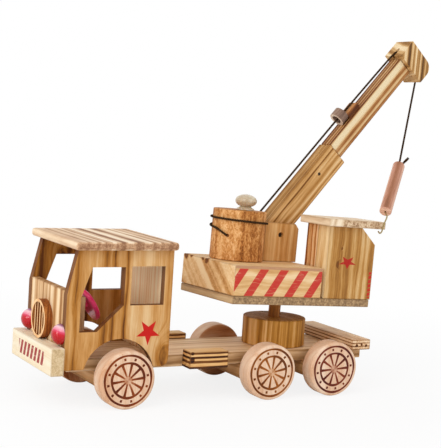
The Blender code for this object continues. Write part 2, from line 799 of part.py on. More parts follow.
def make_winch():
    log = rod(
        "winch_log", LOG_RADIUS, (0, 0, LOG_BOTTOM), (0, 0, LOG_TOP), PINE, WINCH, sides=48
    )
    bevel(log, ARRIS)
    boolean(log, bpy.data.objects["spindle_bore"])
    out = Vector((math.cos(ROPE_STARTS), math.sin(ROPE_STARTS), 0))
    centre = out * LOG_RADIUS + UP * winding_height(ROPE_STARTS)
    shape = bmesh.new()
    bmesh.ops.create_cone(
        shape, cap_ends=True, segments=12, radius1=NOTCH_RADIUS / 4, radius2=NOTCH_RADIUS, depth=2 * NOTCH_DEPTH
    )
    bmesh.ops.rotate(shape, matrix=UP.rotation_difference(out).to_matrix(), verts=shape.verts)
    bmesh.ops.translate(shape, vec=centre, verts=shape.verts)
    boolean(log, cutter("log_notch", finish_mesh("notch", shape), WINCH))
    knob_z = LOG_TOP + GAP
    ball_z = knob_z + KNOB_FOOT_HEIGHT + KNOB_HEIGHT / 2
    ball = [
        (KNOB_RADIUS * math.sin(math.radians(a)), KNOB_HEIGHT / 2 * math.cos(math.radians(a)) + ball_z)
        for a in range(0, 151, 15)
    ]
    foot = [(KNOB_FOOT_RADIUS, knob_z + KNOB_FOOT_HEIGHT / 2), (KNOB_FOOT_RADIUS, knob_z), (0, knob_z)]
    turned("winch_knob", ball + foot, CLEAR_RESIN, WINCH, (KNOB_OFF_AXIS, 0, 0), 28)


def winding_height(angle):
    """Height of the rope's middle where it passes an angle round the log."""
    steady = ROPE_STARTS - ROPE_DIP_ANGLE
    turned_by = max(0, angle - ROPE_LEAVES) / (steady - ROPE_LEAVES)
    dip = max(0, angle - steady) / ROPE_DIP_ANGLE
    return ROPE_LEAVES_Z - ROPE_CLIMB * turned_by**ROPE_CLIMB_POWER - ROPE_DIP * dip**ROPE_DIP_POWER


def winding_point(angle):
    radius = LOG_RADIUS + GAP + ROPE_RADIUS
    return Vector((radius * math.cos(angle), radius * math.sin(angle), winding_height(angle)))


def make_ropes():
    turns = (ROPE_STARTS - ROPE_LEAVES) / math.tau
    count = round(turns * POINTS_PER_TURN)
    wound = [
        winding_point(ROPE_STARTS + (ROPE_LEAVES - ROPE_STARTS) * i / count) for i in range(count + 1)
    ]
    straight = (wound[-1] - wound[-2]).normalized() * 2 * ROPE_RADIUS
    tube("rope_windings", wound[:-1] + [wound[-2] + straight], ROPE_RADIUS, ROPE, WINCH, 1)
    apart = min(
        (wound[i] - wound[j]).length
        for i in range(len(wound))
        for j in range(i + POINTS_PER_TURN // 2, len(wound))
    )
    print(f"rope windings: least gap to itself {1000 * (apart - 2 * ROPE_RADIUS):.2f} mm")

    centre = Vector((LOG_X, LOG_Y, 0))
    start = centre + wound[-2] + straight + straight.normalized() * GAP
    ring_z = UPPER_BOOM_OVER + GAP + RING_RADIUS - GAP
    run_end = PIVOT + BOOM_TURN @ Vector((RUN_END_X - GAP, 0, ring_z))
    way = run_end - start
    way.normalize()
    bend = start + straight * RUN_BEND_ENDS + way * 3 * ROPE_RADIUS
    knots = [
        start,
        start + straight * RUN_BEND_STARTS,
        bend,
        bend + way * RUN_STRAIGHT_AFTER,
        run_end - way * RUN_STRAIGHT_BEFORE,
        run_end,
    ]
    tube("rope_run", smooth_route(knots, RUN_SPACING), ROPE_RADIUS, ROPE, TURRET)

    top, bottom = bore_line()
    down = (bottom - top).normalized()
    guide_top = UPPER_BOOM_OVER + 2 * GAP + GUIDE_HEIGHT + ROPE_RADIUS
    on_boom = [
        Vector((RUN_END_X, 0, ring_z)),
        Vector((GUIDE_FRONT + GUIDE_LENGTH / 2, 0, guide_top)),
        Vector((UPPER_BOOM_END - 2 * ROPE_RADIUS, 0, HEAD_OVER + ROPE_RADIUS)),
        Vector((top.x - 2 * ROPE_RADIUS, 0, HEAD_OVER - 2 * ROPE_RADIUS)),
        top + down * 3 * ROPE_RADIUS,
        bottom - down * 2 * ROPE_RADIUS,
        bottom - down * DROP_BELOW_HEAD,
    ]
    tube("rope_boom", smooth_route(on_boom, BOOM_ROPE_SPACING), ROPE_RADIUS, ROPE, BOOM)


def make_hook():
    bend = Vector(
        (CRANE_ROOF_REAR - HOOK_FROM_REAR, CRANE_ROOF_LEFT - HOOK_OFF_ROOF, CRANE_CAB_TOP + GAP + BOARD)
    )
    bend -= SWING.location
    flat = Vector((bend.x, bend.y, 0)).normalized()
    up_weight = UP * math.cos(WEIGHT_TILT) - flat * math.sin(WEIGHT_TILT)
    top = bend + up_weight * HOOK_REACH
    foot = top - up_weight * WEIGHT_LENGTH
    weight = rod("hook_weight", WEIGHT_RADIUS, foot, top, WEIGHT_WOOD, SWING, sides=20)
    bevel(weight, ARRIS)
    rope_way = top.normalized()
    for name, radius, end, way in (
        ("weight_rope_bore", ROPE_RADIUS, top, -rope_way),
        ("weight_wire_bore", WIRE_RADIUS, foot, -up_weight),
    ):
        bore = rod_mesh(
            "bore", radius + GAP, end - way * WEIGHT_BORE_DEPTH, end + way * WEIGHT_BORE_DEPTH, 12
        )
        boolean(weight, cutter(name, bore, SWING))
    seat = WEIGHT_BORE_DEPTH - GAP
    points = smooth_route([Vector((0, 0, 0)), top * 0.5, top, top + rope_way * seat], DROP_SPACING)
    tube("rope_drop", points, ROPE_RADIUS, ROPE, SWING)

    # The rope's end stands out sideways beside it, and is frayed thicker.
    across = UP.cross(flat)
    aside = across * math.sin(TAIL_SLANT) + UP * math.cos(TAIL_SLANT)
    tail_start = top + up_weight * (GAP + ROPE_RADIUS) + across * (2 * ROPE_RADIUS + GAP)
    shares = [i / (TAIL_POINTS - 1) for i in range(TAIL_POINTS)]
    tail = [tail_start + aside * TAIL_LENGTH * share for share in shares]
    swell = [1 + (TAIL_RADIUS / ROPE_RADIUS - 1) * share for share in shares]
    tube("rope_tail", tail, ROPE_RADIUS, ROPE, SWING, 2, swell)

    # The wire leaves the weight, steps out past the roof's side and turns up under its own bend.
    wire = [foot + up_weight * seat, foot, foot - up_weight * 2 * WIRE_RADIUS]
    wire += [bend + Vector(offset) for offset in (WIRE_SHOULDER, *WIRE_BENDS)]
    tube("hook_wire", smooth_route(wire, WIRE_SPACING), WIRE_RADIUS, BRASS, SWING)


def centre_on_ground():
    """Moves the frame so that the truck's box stands centred over the origin."""
    bpy.context.view_layer.update()
    graph = bpy.context.evaluated_depsgraph_get()
    corners = []
    for made in PARTS.objects:
        if made.type != "EMPTY":
            whole = made.evaluated_get(graph)
            mesh = whole.to_mesh()
            corners += [whole.matrix_world @ vertex.co for vertex in mesh.vertices]
            whole.to_mesh_clear()
    for axis in (0, 1):
        low = min(corner[axis] for corner in corners)
        high = max(corner[axis] for corner in corners)
        ROOT.location[axis] -= (low + high) / 2
    bpy.context.view_layer.update()


def print_joints():
    joints = {
        "slew": (TURRET, UP),
        "winch": (WINCH, UP),
        "boom": (BOOM, Vector((0, -1, 0))),
        "swing": (SWING, Vector((0, -1, 0))),
    }
    for name, (frame, axis) in joints.items():
        way = frame.matrix_world.to_3x3() @ axis
        print("joint", name, [round(v, 6) for v in frame.matrix_world.translation], [round(v, 6) for v in way])
    print("front axle", [round(v, 6) for v in ROOT.matrix_world.translation])


for old in list(bpy.data.objects):
    bpy.data.objects.remove(old, do_unlink=True)

PARTS = bpy.data.collections.new("wooden_crane_truck")
CUTTERS = bpy.data.collections.new("cutters")
for collection in (PARTS, CUTTERS):
    bpy.context.scene.collection.children.link(collection)

PINE = material("oiled_pine", (0.56, 0.33, 0.14), 0.5)
WHEEL_WOOD = material("pale_beech", (0.78, 0.55, 0.38), 0.55)
PLYWOOD = material("scorched_plywood", (0.36, 0.19, 0.08), 0.6)
WEIGHT_WOOD = material("rosy_wood", (0.55, 0.26, 0.18), 0.5)
LACQUER = material("red_lacquer", (0.72, 0.02, 0.10), 0.15)
CLEAR_RESIN = material("cream_resin", (0.80, 0.74, 0.60), 0.2)
ROPE = material("tarred_twine", (0.10, 0.06, 0.04), 0.9)
STEEL = material("nail_steel", (0.30, 0.28, 0.26), 0.4, 1.0)
BRASS = material("brass_wire", (0.60, 0.47, 0.22), 0.35, 1.0)

SIDES = {"left": -1, "right": 1}
AXLES = {"front": 0.0, "mid": MID_AXLE_X, "rear": REAR_AXLE_X}

ROOT = empty("truck_frame")
LEAN = Matrix.Rotation(LEAN_BACK, 3, "Y") @ Matrix.Rotation(LEAN_SIDE, 3, "X")
TURRET = empty(
    "slew_frame", ROOT, (TURNTABLE_X, 0, DECK_Z), LEAN @ Matrix.Rotation(SLEW, 3, "Z")
)
WINCH = empty("winch_frame", TURRET, (LOG_X, LOG_Y, 0))
BOOM = empty("boom_frame", TURRET, PIVOT, BOOM_TURN)
SWING_POINT = bore_line()[1] + Vector((0, 0, -DROP_BELOW_HEAD))
SWING = empty("swing_frame", TURRET, PIVOT + BOOM_TURN @ SWING_POINT)
bpy.context.view_layer.update()

make_chassis()
make_wheels()
make_cab()
make_front()
make_turntable()
make_deck()
make_crane_cab()
make_bracket()
make_boom()
make_head()
make_winch()
make_ropes()
make_hook()
centre_on_ground()
print_joints()
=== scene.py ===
import json
import math

import bpy
import numpy as np
from mathutils import Matrix, Vector


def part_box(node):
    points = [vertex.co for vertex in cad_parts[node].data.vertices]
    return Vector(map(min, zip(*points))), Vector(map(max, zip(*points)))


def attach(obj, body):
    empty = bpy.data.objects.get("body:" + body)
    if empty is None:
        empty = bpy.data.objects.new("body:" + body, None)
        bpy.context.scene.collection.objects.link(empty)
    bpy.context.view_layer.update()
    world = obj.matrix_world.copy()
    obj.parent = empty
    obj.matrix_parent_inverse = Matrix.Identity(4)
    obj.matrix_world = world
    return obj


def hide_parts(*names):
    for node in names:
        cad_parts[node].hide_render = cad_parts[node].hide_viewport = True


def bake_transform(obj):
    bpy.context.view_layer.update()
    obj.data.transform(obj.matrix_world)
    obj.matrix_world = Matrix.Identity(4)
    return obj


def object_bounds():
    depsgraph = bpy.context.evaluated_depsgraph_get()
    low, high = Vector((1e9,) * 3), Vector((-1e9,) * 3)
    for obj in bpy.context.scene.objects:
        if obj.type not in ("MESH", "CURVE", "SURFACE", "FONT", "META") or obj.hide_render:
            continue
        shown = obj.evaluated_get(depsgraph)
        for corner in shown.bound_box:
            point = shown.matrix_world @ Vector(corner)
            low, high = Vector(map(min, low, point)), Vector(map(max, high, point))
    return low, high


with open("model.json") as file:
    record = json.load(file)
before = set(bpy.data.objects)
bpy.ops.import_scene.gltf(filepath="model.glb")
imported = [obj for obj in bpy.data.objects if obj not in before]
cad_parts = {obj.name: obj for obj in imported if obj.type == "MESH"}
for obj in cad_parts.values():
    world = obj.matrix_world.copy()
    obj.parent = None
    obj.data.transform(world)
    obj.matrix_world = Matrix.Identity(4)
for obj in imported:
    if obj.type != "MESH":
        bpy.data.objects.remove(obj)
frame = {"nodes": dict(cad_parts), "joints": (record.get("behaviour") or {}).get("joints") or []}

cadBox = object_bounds()
mm = 0.001
perMm = (1 / mm, 1 / mm, 1 / mm)
print("frame loaded")


def linearColour(hexText):
    # sRGB hex to linear: below 0.04045 divided by 12.92, above it the 2.4 power curve
    values = [int(hexText[i:i + 2], 16) / 255 for i in (1, 3, 5)]
    return tuple(v / 12.92 if v < 0.04045 else ((v + 0.055) / 1.055) ** 2.4 for v in values) + (1,)


def addNode(tree, kind, links=None, **settings):
    # links gives an input a value, a socket, or a node, which stands for its first output in use
    made = tree.nodes.new("ShaderNode" + kind)
    for key, value in settings.items():
        setattr(made, key, value)
    for socket, source in (links or {}).items():
        if isinstance(source, bpy.types.Node):
            source = next(output for output in source.outputs if output.enabled)
        if isinstance(source, bpy.types.NodeSocket):
            tree.links.new(source, made.inputs[socket])
        else:
            made.inputs[socket].default_value = source
    return made


def fillRamp(ramp, stops):
    # stops are (position, colour) or (position, grey value)
    elements = ramp.color_ramp.elements
    while len(elements) < len(stops):
        elements.new(0.5)
    for element, (position, value) in zip(elements, stops):
        element.position = position
        element.color = linearColour(value) if isinstance(value, str) else (value, value, value, 1)
    return ramp


def newMaterial(name):
    made = bpy.data.materials.new(name)
    made.use_nodes = True
    made.node_tree.nodes.clear()
    return made, made.node_tree


# Where the crane stands: it leans on its loose peg, and each of its parts has a frame of its own
crane = {"leanBack": 2.58, "leanSide": -1.16, "slew": 2.5, "boomAngle": 50.5}
jointAt = {joint["name"]: Vector(joint["pos_m"]) for joint in frame["joints"]}
craneTurn = (
    Matrix.Rotation(math.radians(crane["leanBack"]), 4, "Y")
    @ Matrix.Rotation(math.radians(crane["leanSide"]), 4, "X")
    @ Matrix.Rotation(math.radians(crane["slew"]), 4, "Z")
)
boomTurn = Matrix.Rotation(-math.radians(crane["boomAngle"]), 4, "Y")
truckPlace = Matrix.Identity(4)
turretPlace = Matrix.Translation(jointAt["deck_slew"]) @ craneTurn
winchPlace = Matrix.Translation(jointAt["winch_turn"]) @ craneTurn
boomPlace = Matrix.Translation(jointAt["boom_luff"]) @ craneTurn @ boomTurn
hookPlace = Matrix.Translation(jointAt["hook_swing"]) @ craneTurn


def nodePoints(name, place):
    # the node's points as rows, in the frame that place gives
    mesh = frame["nodes"][name].data
    points = np.empty(len(mesh.vertices) * 3)
    mesh.vertices.foreach_get("co", points)
    inverse = np.array(place.inverted())
    return points.reshape(-1, 3) @ inverse[:3, :3].T + inverse[:3, 3]


def boardFrame(name, place, axes):
    # axes names the frame's directions for along the grain, across it and through the board, such as "zxy"
    points = nodePoints(name, place)
    low, high = points.min(0), points.max(0)
    turn = Matrix([[float("xyz"[row] == axes[column]) for column in range(3)] for row in range(3)])
    half = [(high - low)["xyz".index(axis)] / 2 / mm for axis in axes]
    if turn.determinant() < 0:
        turn.col[2] = -turn.col[2]
    return place @ Matrix.Translation((low + high) / 2) @ turn.to_4x4(), half


# Camera: the photograph's viewing angle, laid out from the front axle on the ground
camera = {"fromAxle": (-0.3775, -0.8555, 0.2250), "yaw": 29.14, "pitch": 5.2, "roll": 3.71, "lens": 96.64}


def placeCamera():
    yaw, pitch, roll = (math.radians(camera[key]) for key in ("yaw", "pitch", "roll"))
    look = Vector((math.sin(yaw) * math.cos(pitch), math.cos(yaw) * math.cos(pitch), -math.sin(pitch)))
    right = Vector((math.cos(yaw), -math.sin(yaw), 0))
    up = right.cross(look)
    turnedRight = right * math.cos(roll) + up * math.sin(roll)
    turnedUp = up * math.cos(roll) - right * math.sin(roll)
    low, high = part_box("front_axle")
    axle = Vector(((low.x + high.x) / 2, 0, 0))
    data = bpy.data.cameras.new("photoCamera")
    data.lens = camera["lens"]
    data.sensor_width = 36
    data.dof.use_dof = False
    made = bpy.data.objects.new("photoCamera", data)
    turn = Matrix((turnedRight, turnedUp, -look)).transposed()
    made.matrix_world = Matrix.Translation(axle + Vector(camera["fromAxle"])) @ turn.to_4x4()
    bpy.context.scene.collection.objects.link(made)
    bpy.context.scene.camera = made


placeCamera()
print("camera placed")

# Wood. Sawn softwood, oiled: annual rings show as dark late-wood lines on every face, end grain is darker
# and mottled, and the saw has scorched some edges. Lengths in millimetres, x along the grain, y across it.
plainBoard = {
    "wood": "oiledPine",
    "colours": ("#ecc795", "#d3a066", "#b67b3e", "#74400f"),  # palest to darkest
    "pith": (38, 60),  # where the heart of the tree lies, across and through
    "ring": 5.0,  # width of a growth ring
    "rings": 0.75,
    "fine": 0.12,
    "fibre": 0.22,
    "blotch": 0.30,
    "tone": 0.42,
    "wave": 1.6,  # how far the grain wanders
    "waveLength": 60,
    "streaks": None,  # (place across from 0 to 1, tone) pairs
    "knots": (),  # (along, across, radius) right through, or (along, across, through, radius) as a round spot
    "knotDark": 0.75,
    "endDark": 0.25,
    "endRings": 0.35,  # share of the rings' contrast that end grain keeps
    "endSpeckle": 0.20,
    "endFrom": -1000,
    "endStreaks": None,  # (turns per mm across, turns per mm through, weight) of slanting stains on end grain
    "faceToneAndShade": (),  # (direction in the board's axes, added tone): mostly painted light and shade on the faces turned that way
    "edge": 0.25,  # rubbed and browned arrises
    "edgeColour": "#70431d",
    "scorch": 0.0,  # sawn edges burnt brown
    "scorchColour": "#5c2b0c",
    "print": None,
    "printSide": 0,  # which side of the board is printed: -1, +1 or both
    "burn": None,  # three colours of a burnt-in pattern, lightly to deeply burnt
    "roughness": 0.58,
    "specular": 0.22,
    "bump": 0.25,
    "bumpDepth": 0.0002,
    "ripple": 0.0,  # short crossing marks, as in curly wood
    "seed": 0.0,
}
printBlur = 0.15  # half the width of the soft edge round a star and beside a bar
cutBlur = 0.12  # the same where a row of bars is cut off


def starMask(tree, spot, shape):
    # a star folded about its points: angle folded into one half point, then one straight edge line
    radius, inner = shape["radius"], shape["radius"] * 0.40
    tenth = math.pi / 5
    normal = Vector((inner * math.sin(tenth), radius - inner * math.cos(tenth))).normalized()
    along = addNode(tree, "Math", {0: spot.outputs[0], 1: shape["along"]}, operation="SUBTRACT")
    down = addNode(tree, "Math", {0: along, 1: -1 / shape.get("squash", 1)}, operation="MULTIPLY")
    across = addNode(tree, "Math", {0: spot.outputs[1], 1: shape["across"]}, operation="SUBTRACT")
    angle = addNode(tree, "Math", {0: across, 1: down}, operation="ARCTAN2")
    folded = addNode(tree, "Math", {0: angle, 1: tenth}, operation="PINGPONG")
    flat = addNode(tree, "CombineXYZ", {0: across, 1: down})
    away = addNode(tree, "VectorMath", {0: flat}, operation="LENGTH")
    cosine = addNode(tree, "Math", {0: folded}, operation="COSINE")
    sine = addNode(tree, "Math", {0: folded}, operation="SINE")
    direction = addNode(tree, "CombineXYZ", {0: cosine, 1: sine})
    side = addNode(tree, "VectorMath", {0: direction, 1: (*normal, 0)}, operation="DOT_PRODUCT")
    reach = addNode(tree, "Math", {0: away, 1: side}, operation="MULTIPLY")
    edge = normal.x * radius
    return addNode(tree, "MapRange", {0: reach, 1: edge + printBlur, 2: edge - printBlur})


def barsMask(tree, spot, shape):
    # slanted bars: across minus slope times along, wrapped at the pitch, inside a rectangle
    slope = {0: spot.outputs[1], 1: -shape["slant"], 2: spot.outputs[0]}
    slanted = addNode(tree, "Math", slope, operation="MULTIPLY_ADD")
    moved = addNode(tree, "Math", {0: slanted, 1: shape["start"]}, operation="SUBTRACT")
    wrapped = addNode(tree, "Math", {0: moved, 1: shape["pitch"]}, operation="FLOORED_MODULO")
    width = shape["width"]
    mask = addNode(tree, "MapRange", {0: wrapped, 1: width + printBlur, 2: width - printBlur})
    for axis, key in enumerate(("along", "across")):
        for limit, blur in zip(shape[key], (cutBlur, -cutBlur)):
            inside = addNode(tree, "MapRange", {0: spot.outputs[axis], 1: limit - blur, 2: limit + blur})
            mask = addNode(tree, "Math", {0: mask, 1: inside}, operation="MULTIPLY")
    return mask


def woodFinish(name, place, half, changes):
    look = {**plainBoard, **changes}
    made, tree = newMaterial(f"{look['wood']}.{name}")
    spotAt, turn, _ = place.decompose()
    coordinates = addNode(tree, "TexCoord")
    normal = coordinates.outputs["Normal"]
    local = addNode(tree, "Mapping", {
        "Vector": coordinates.outputs["Object"], "Location": spotAt, "Rotation": turn.to_euler(),
        "Scale": (mm, mm, mm),
    }, vector_type="TEXTURE")
    spot = addNode(tree, "SeparateXYZ", {0: local})

    # The grain wanders: a slow noise, long along the grain, shifts the rings sideways.
    seed, length, wave = look["seed"], look["waveLength"], look["wave"]
    slowing = {0: local, 1: (1 / length, 2.2 / length, 2.2 / length), 2: (seed, seed * 1.7, 0)}
    slow = addNode(tree, "VectorMath", slowing, operation="MULTIPLY_ADD")
    wander = addNode(tree, "TexNoise", {"Vector": slow, "Scale": 1.6, "Detail": 2.0, "Roughness": 0.5})
    sideways = {0: wander.outputs[1], 1: (0, 2 * wave, 2 * wave), 2: (0, -wave, -wave)}
    shift = addNode(tree, "VectorMath", sideways, operation="MULTIPLY_ADD")
    bent = addNode(tree, "VectorMath", {0: local, 1: shift}, operation="ADD")
    toPith = {0: bent, 1: (0, 1, 1), 2: (0, *look["pith"])}
    fromPith = addNode(tree, "VectorMath", toPith, operation="MULTIPLY_ADD")
    ringAt = addNode(tree, "VectorMath", {0: fromPith}, operation="LENGTH")
    tone = look["tone"]

    # A knot pushes the rings aside around it and is dark in its middle; a round spot stains the surface.
    stains = []
    for along, side, *deep, radius in look["knots"]:
        spread = (1 / radius, 1 / radius, 1 / radius) if deep else (0.55 / radius, 1 / radius, 0)
        middle = tuple(-at * share for at, share in zip((along, side, *(deep or [0])), spread))
        toKnot = addNode(tree, "VectorMath", {0: bent, 1: spread, 2: middle}, operation="MULTIPLY_ADD")
        gap = addNode(tree, "VectorMath", {0: toKnot}, operation="LENGTH")
        heart = addNode(tree, "MapRange", {0: gap, 1: 1.15, 2: 0.5}, interpolation_type="SMOOTHSTEP")
        if deep:
            stains.append(heart)
            continue
        around = addNode(tree, "MapRange", {0: gap, 1: 2.6, 2: 0.0}, interpolation_type="SMOOTHSTEP")
        ringAt = addNode(tree, "Math", {0: around, 1: 2.4 * radius, 2: ringAt}, operation="MULTIPLY_ADD")
        tone = addNode(tree, "Math", {0: heart, 1: look["knotDark"], 2: tone}, operation="MULTIPLY_ADD")

    # The tone adds up layers of noise: growth rings and fine lines by their distance from the pith, long
    # fibres, broad blotches and, in curly wood, ripples. A noise counts by its span to both sides of a half.
    layers = (  # name, where the noise is read, span, detail, roughness, distortion
        ("rings", {0: ringAt, 1: 1 / look["ring"], 2: seed * 3.1}, 0.20, 1, 0.5, 0),
        ("fine", {0: ringAt, 1: 0.7, 2: seed}, 0.20, 1, 0.7, 0),
        ("fibre", {0: bent, 1: (0.07, 1.5, 1.5)}, 0.25, 3, 0.6, 0),
        ("blotch", {0: local, 1: (0.022, 0.06, 0.06), 2: (seed, 0, seed)}, 0.25, 3, 0.55, 0),
        ("ripple", {0: local, 1: (0.30, 0.55, 0.55)}, 0.18, 2, 0.6, 1.2),
    )
    noises, tones = {}, {}
    for key, links, span, detail, roughness, distortion in layers:
        if key == "ripple" and not look[key]:
            continue
        flat = links[0] is ringAt
        at = addNode(tree, "Math" if flat else "VectorMath", links, operation="MULTIPLY_ADD")
        noises[key] = addNode(tree, "TexNoise", {
            "W" if flat else "Vector": at, "Scale": 1.0, "Detail": detail, "Roughness": roughness,
            "Distortion": distortion,
        }, noise_dimensions="1D" if flat else "3D")
        reach = {1: 0.5 - span, 2: 0.5 + span, 3: -0.5, 4: 0.5}
        tones[key] = addNode(tree, "MapRange", {0: noises[key], **reach})
        tone = addNode(tree, "Math", {0: tones[key], 1: look[key], 2: tone}, operation="MULTIPLY_ADD")
    if look["streaks"]:
        bentSpot = addNode(tree, "SeparateXYZ", {0: bent})
        across = {0: bentSpot.outputs[1], 1: 0.5 / half[1], 2: 0.5}
        share = addNode(tree, "Math", across, operation="MULTIPLY_ADD")
        streaks = fillRamp(addNode(tree, "ValToRGB", {0: share}), look["streaks"])
        tone = addNode(tree, "Math", {0: streaks, 1: tone}, operation="ADD")
        tone = addNode(tree, "Math", {0: tone, 1: 0.5}, operation="SUBTRACT")

    # Faces by direction: end grain, and faces that a piece's own look paints darker or lighter, mostly as
    # painted shade and painted light
    endwise = addNode(tree, "VectorMath", {0: normal, 1: turn @ Vector((1, 0, 0))}, operation="DOT_PRODUCT")
    endOn = addNode(tree, "Math", {0: endwise}, operation="ABSOLUTE")
    endGrain = addNode(tree, "MapRange", {0: endOn, 1: 0.6, 2: 0.85})
    fromHere = addNode(tree, "MapRange", {0: spot.outputs[1], 1: look["endFrom"] - 1, 2: look["endFrom"] + 1})
    endGrain = addNode(tree, "Math", {0: endGrain, 1: fromHere}, operation="MULTIPLY")
    less = look["endRings"] - 1
    fading = {0: tone, 1: less, 2: look["endDark"] - less * look["tone"]}
    toEnd = addNode(tree, "Math", fading, operation="MULTIPLY_ADD")
    tone = addNode(tree, "Math", {0: endGrain, 1: toEnd, 2: tone}, operation="MULTIPLY_ADD")
    if look["endStreaks"]:
        *turns, weight = look["endStreaks"]
        slanting = addNode(tree, "VectorMath", {0: bent, 1: (0, *turns)}, operation="DOT_PRODUCT")
        stain = addNode(tree, "TexNoise", {"W": slanting, "Scale": 1.0, "Detail": 2.0}, noise_dimensions="1D")
        stainTone = addNode(tree, "MapRange", {0: stain, 1: 0.35, 2: 0.65, 3: -weight, 4: weight})
        tone = addNode(tree, "Math", {0: stainTone, 1: endGrain, 2: tone}, operation="MULTIPLY_ADD")
    specks = addNode(tree, "TexNoise", {"Vector": local, "Scale": 0.55, "Detail": 5.0, "Roughness": 0.75})
    speckTone = addNode(tree, "MapRange", {0: specks, 1: 0.38, 2: 0.62, 3: -1.0, 4: 1.0})
    speckOn = addNode(tree, "Math", {0: speckTone, 1: endGrain}, operation="MULTIPLY")
    tone = addNode(tree, "Math", {0: speckOn, 1: look["endSpeckle"], 2: tone}, operation="MULTIPLY_ADD")
    for stain in stains:
        tone = addNode(tree, "Math", {0: stain, 1: look["knotDark"], 2: tone}, operation="MULTIPLY_ADD")
    # painted light and shade: each listed direction adds its tone to the faces turned that way
    for direction, added in look["faceToneAndShade"]:
        way = turn @ Vector(direction)
        toward = addNode(tree, "VectorMath", {0: normal, 1: way}, operation="DOT_PRODUCT")
        turned = addNode(tree, "MapRange", {0: toward, 1: 0.5, 2: 0.8})
        tone = addNode(tree, "Math", {0: turned, 1: added, 2: tone}, operation="MULTIPLY_ADD")
    colour = fillRamp(addNode(tree, "ValToRGB", {0: tone}), [*zip((0.0, 0.34, 0.66, 1.0), look["colours"])])

    # Coats over the wood: rubbed arrises, scorched edges, prints and a burnt pattern. The nearest arris is
    # the second smallest distance to the board's three pairs of faces.
    coats = []
    if look["edge"]:
        size = addNode(tree, "VectorMath", {0: local}, operation="ABSOLUTE")
        inside = addNode(tree, "VectorMath", {0: half, 1: size}, operation="SUBTRACT")
        deepX, deepY, deepZ = addNode(tree, "SeparateXYZ", {0: inside}).outputs
        lesser = addNode(tree, "Math", {0: deepX, 1: deepY}, operation="MINIMUM")
        greater = addNode(tree, "Math", {0: deepX, 1: deepY}, operation="MAXIMUM")
        nearer = addNode(tree, "Math", {0: greater, 1: deepZ}, operation="MINIMUM")
        arris = addNode(tree, "Math", {0: lesser, 1: nearer}, operation="MAXIMUM")
        rough = addNode(tree, "Math", {0: tones["blotch"], 1: 0.9, 2: arris}, operation="MULTIPLY_ADD")
        rubbed = addNode(tree, "MapRange", {0: rough, 1: 1.1, 2: 0.25, 3: 0.0, 4: look["edge"]})
        coats.append((rubbed, linearColour(look["edgeColour"])))
    if look["scorch"]:
        facing = turn @ Vector((0, 0, 1))
        faceOn = addNode(tree, "VectorMath", {0: normal, 1: facing}, operation="DOT_PRODUCT")
        flat = addNode(tree, "Math", {0: faceOn}, operation="ABSOLUTE")
        sawn = addNode(tree, "MapRange", {0: flat, 1: 0.6, 2: 0.3, 3: 0.0, 4: look["scorch"]})
        coats.append((sawn, linearColour(look["scorchColour"])))
    if look["print"]:
        worn = addNode(tree, "MapRange", {0: noises["fibre"], 1: 0.28, 2: 0.44, 3: 0.55, 4: 0.96})
        side = look["printSide"]
        choice = "MULTIPLY" if side else "ABSOLUTE"
        outward = addNode(tree, "Math", {0: spot.outputs[2], 1: side}, operation=choice)
        onFace = addNode(tree, "Math", {0: outward, 1: half[2] - 0.1}, operation="GREATER_THAN")
        for maker, shape in look["print"]:
            mask = addNode(tree, "Math", {0: maker(tree, spot, shape), 1: onFace}, operation="MULTIPLY")
            if shape.get("worn", True):
                mask = addNode(tree, "Math", {0: mask, 1: worn}, operation="MULTIPLY")
            coats.append((mask, linearColour(shape["colour"])))
    if look["burn"]:
        burn = addNode(tree, "Attribute", attribute_name="burn").outputs["Fac"]
        burnt = fillRamp(addNode(tree, "ValToRGB", {0: burn}), [*zip((0.0, 0.5, 1.0), look["burn"])])
        coats.append((addNode(tree, "MapRange", {0: burn, 1: 0.04, 2: 0.45}), burnt))
    for amount, paint in coats:
        colour = addNode(tree, "Mix", {0: amount, 6: colour, 7: paint}, data_type="RGBA")

    relief = addNode(tree, "Math", {0: tones["fibre"], 1: 0.5, 2: tones["fine"]}, operation="MULTIPLY_ADD")
    bump = addNode(tree, "Bump", {"Strength": look["bump"], "Distance": look["bumpDepth"], "Height": relief})
    smooth, dull = look["roughness"] - 0.06, look["roughness"] + 0.08
    gloss = addNode(tree, "MapRange", {0: tone, 1: 0.0, 2: 1.0, 3: smooth, 4: dull})
    shader = addNode(tree, "BsdfPrincipled", {
        "Base Color": colour, "Roughness": gloss, "Specular IOR Level": look["specular"], "Normal": bump,
    })
    addNode(tree, "OutputMaterial", {0: shader})
    return made


def assign(finish, *names):
    # puts the finish into every slot of the CAD nodes
    for name in names:
        for slot in frame["nodes"][name].material_slots:
            slot.material = finish


def dress(name, place, axes, look):
    # gives a CAD node its own wood, laid out from the node's box
    assign(woodFinish(name, *boardFrame(name, place, axes), look), name)


# Truck cab: honey-coloured boards with dark late wood, the openings' sawn edges burnt dark
cabSide = {
    "colours": ("#e0bc8a", "#cc985a", "#ac7028", "#5c2e07"),
    "streaks": [(0.0, 0.48), (0.03, 0.76), (0.055, 0.44), (0.09, 0.84), (0.13, 0.46), (0.20, 0.44),
                (0.26, 0.30), (0.33, 0.64), (0.365, 0.90), (0.40, 0.42), (0.435, 0.92), (0.475, 0.32),
                (0.53, 0.54), (0.555, 0.94), (0.585, 0.38), (0.63, 0.26), (0.75, 0.20), (0.88, 0.32),
                (0.94, 0.46), (1.0, 0.56)],
    "rings": 0.22, "ring": 6.0, "fibre": 0.24, "blotch": 0.36, "tone": 0.48, "wave": 3.2, "waveLength": 85,
    "pith": (60, 30), "scorch": 0.80, "knots": [(-37, 36, 6.5)], "knotDark": 0.34, "edge": 0.20,
    "endDark": 0.10, "printSide": -1,
    "print": [
        (starMask, {"along": -17.95, "across": 24.7, "radius": 10.4, "colour": "#c4140c", "worn": False}),
    ],
}
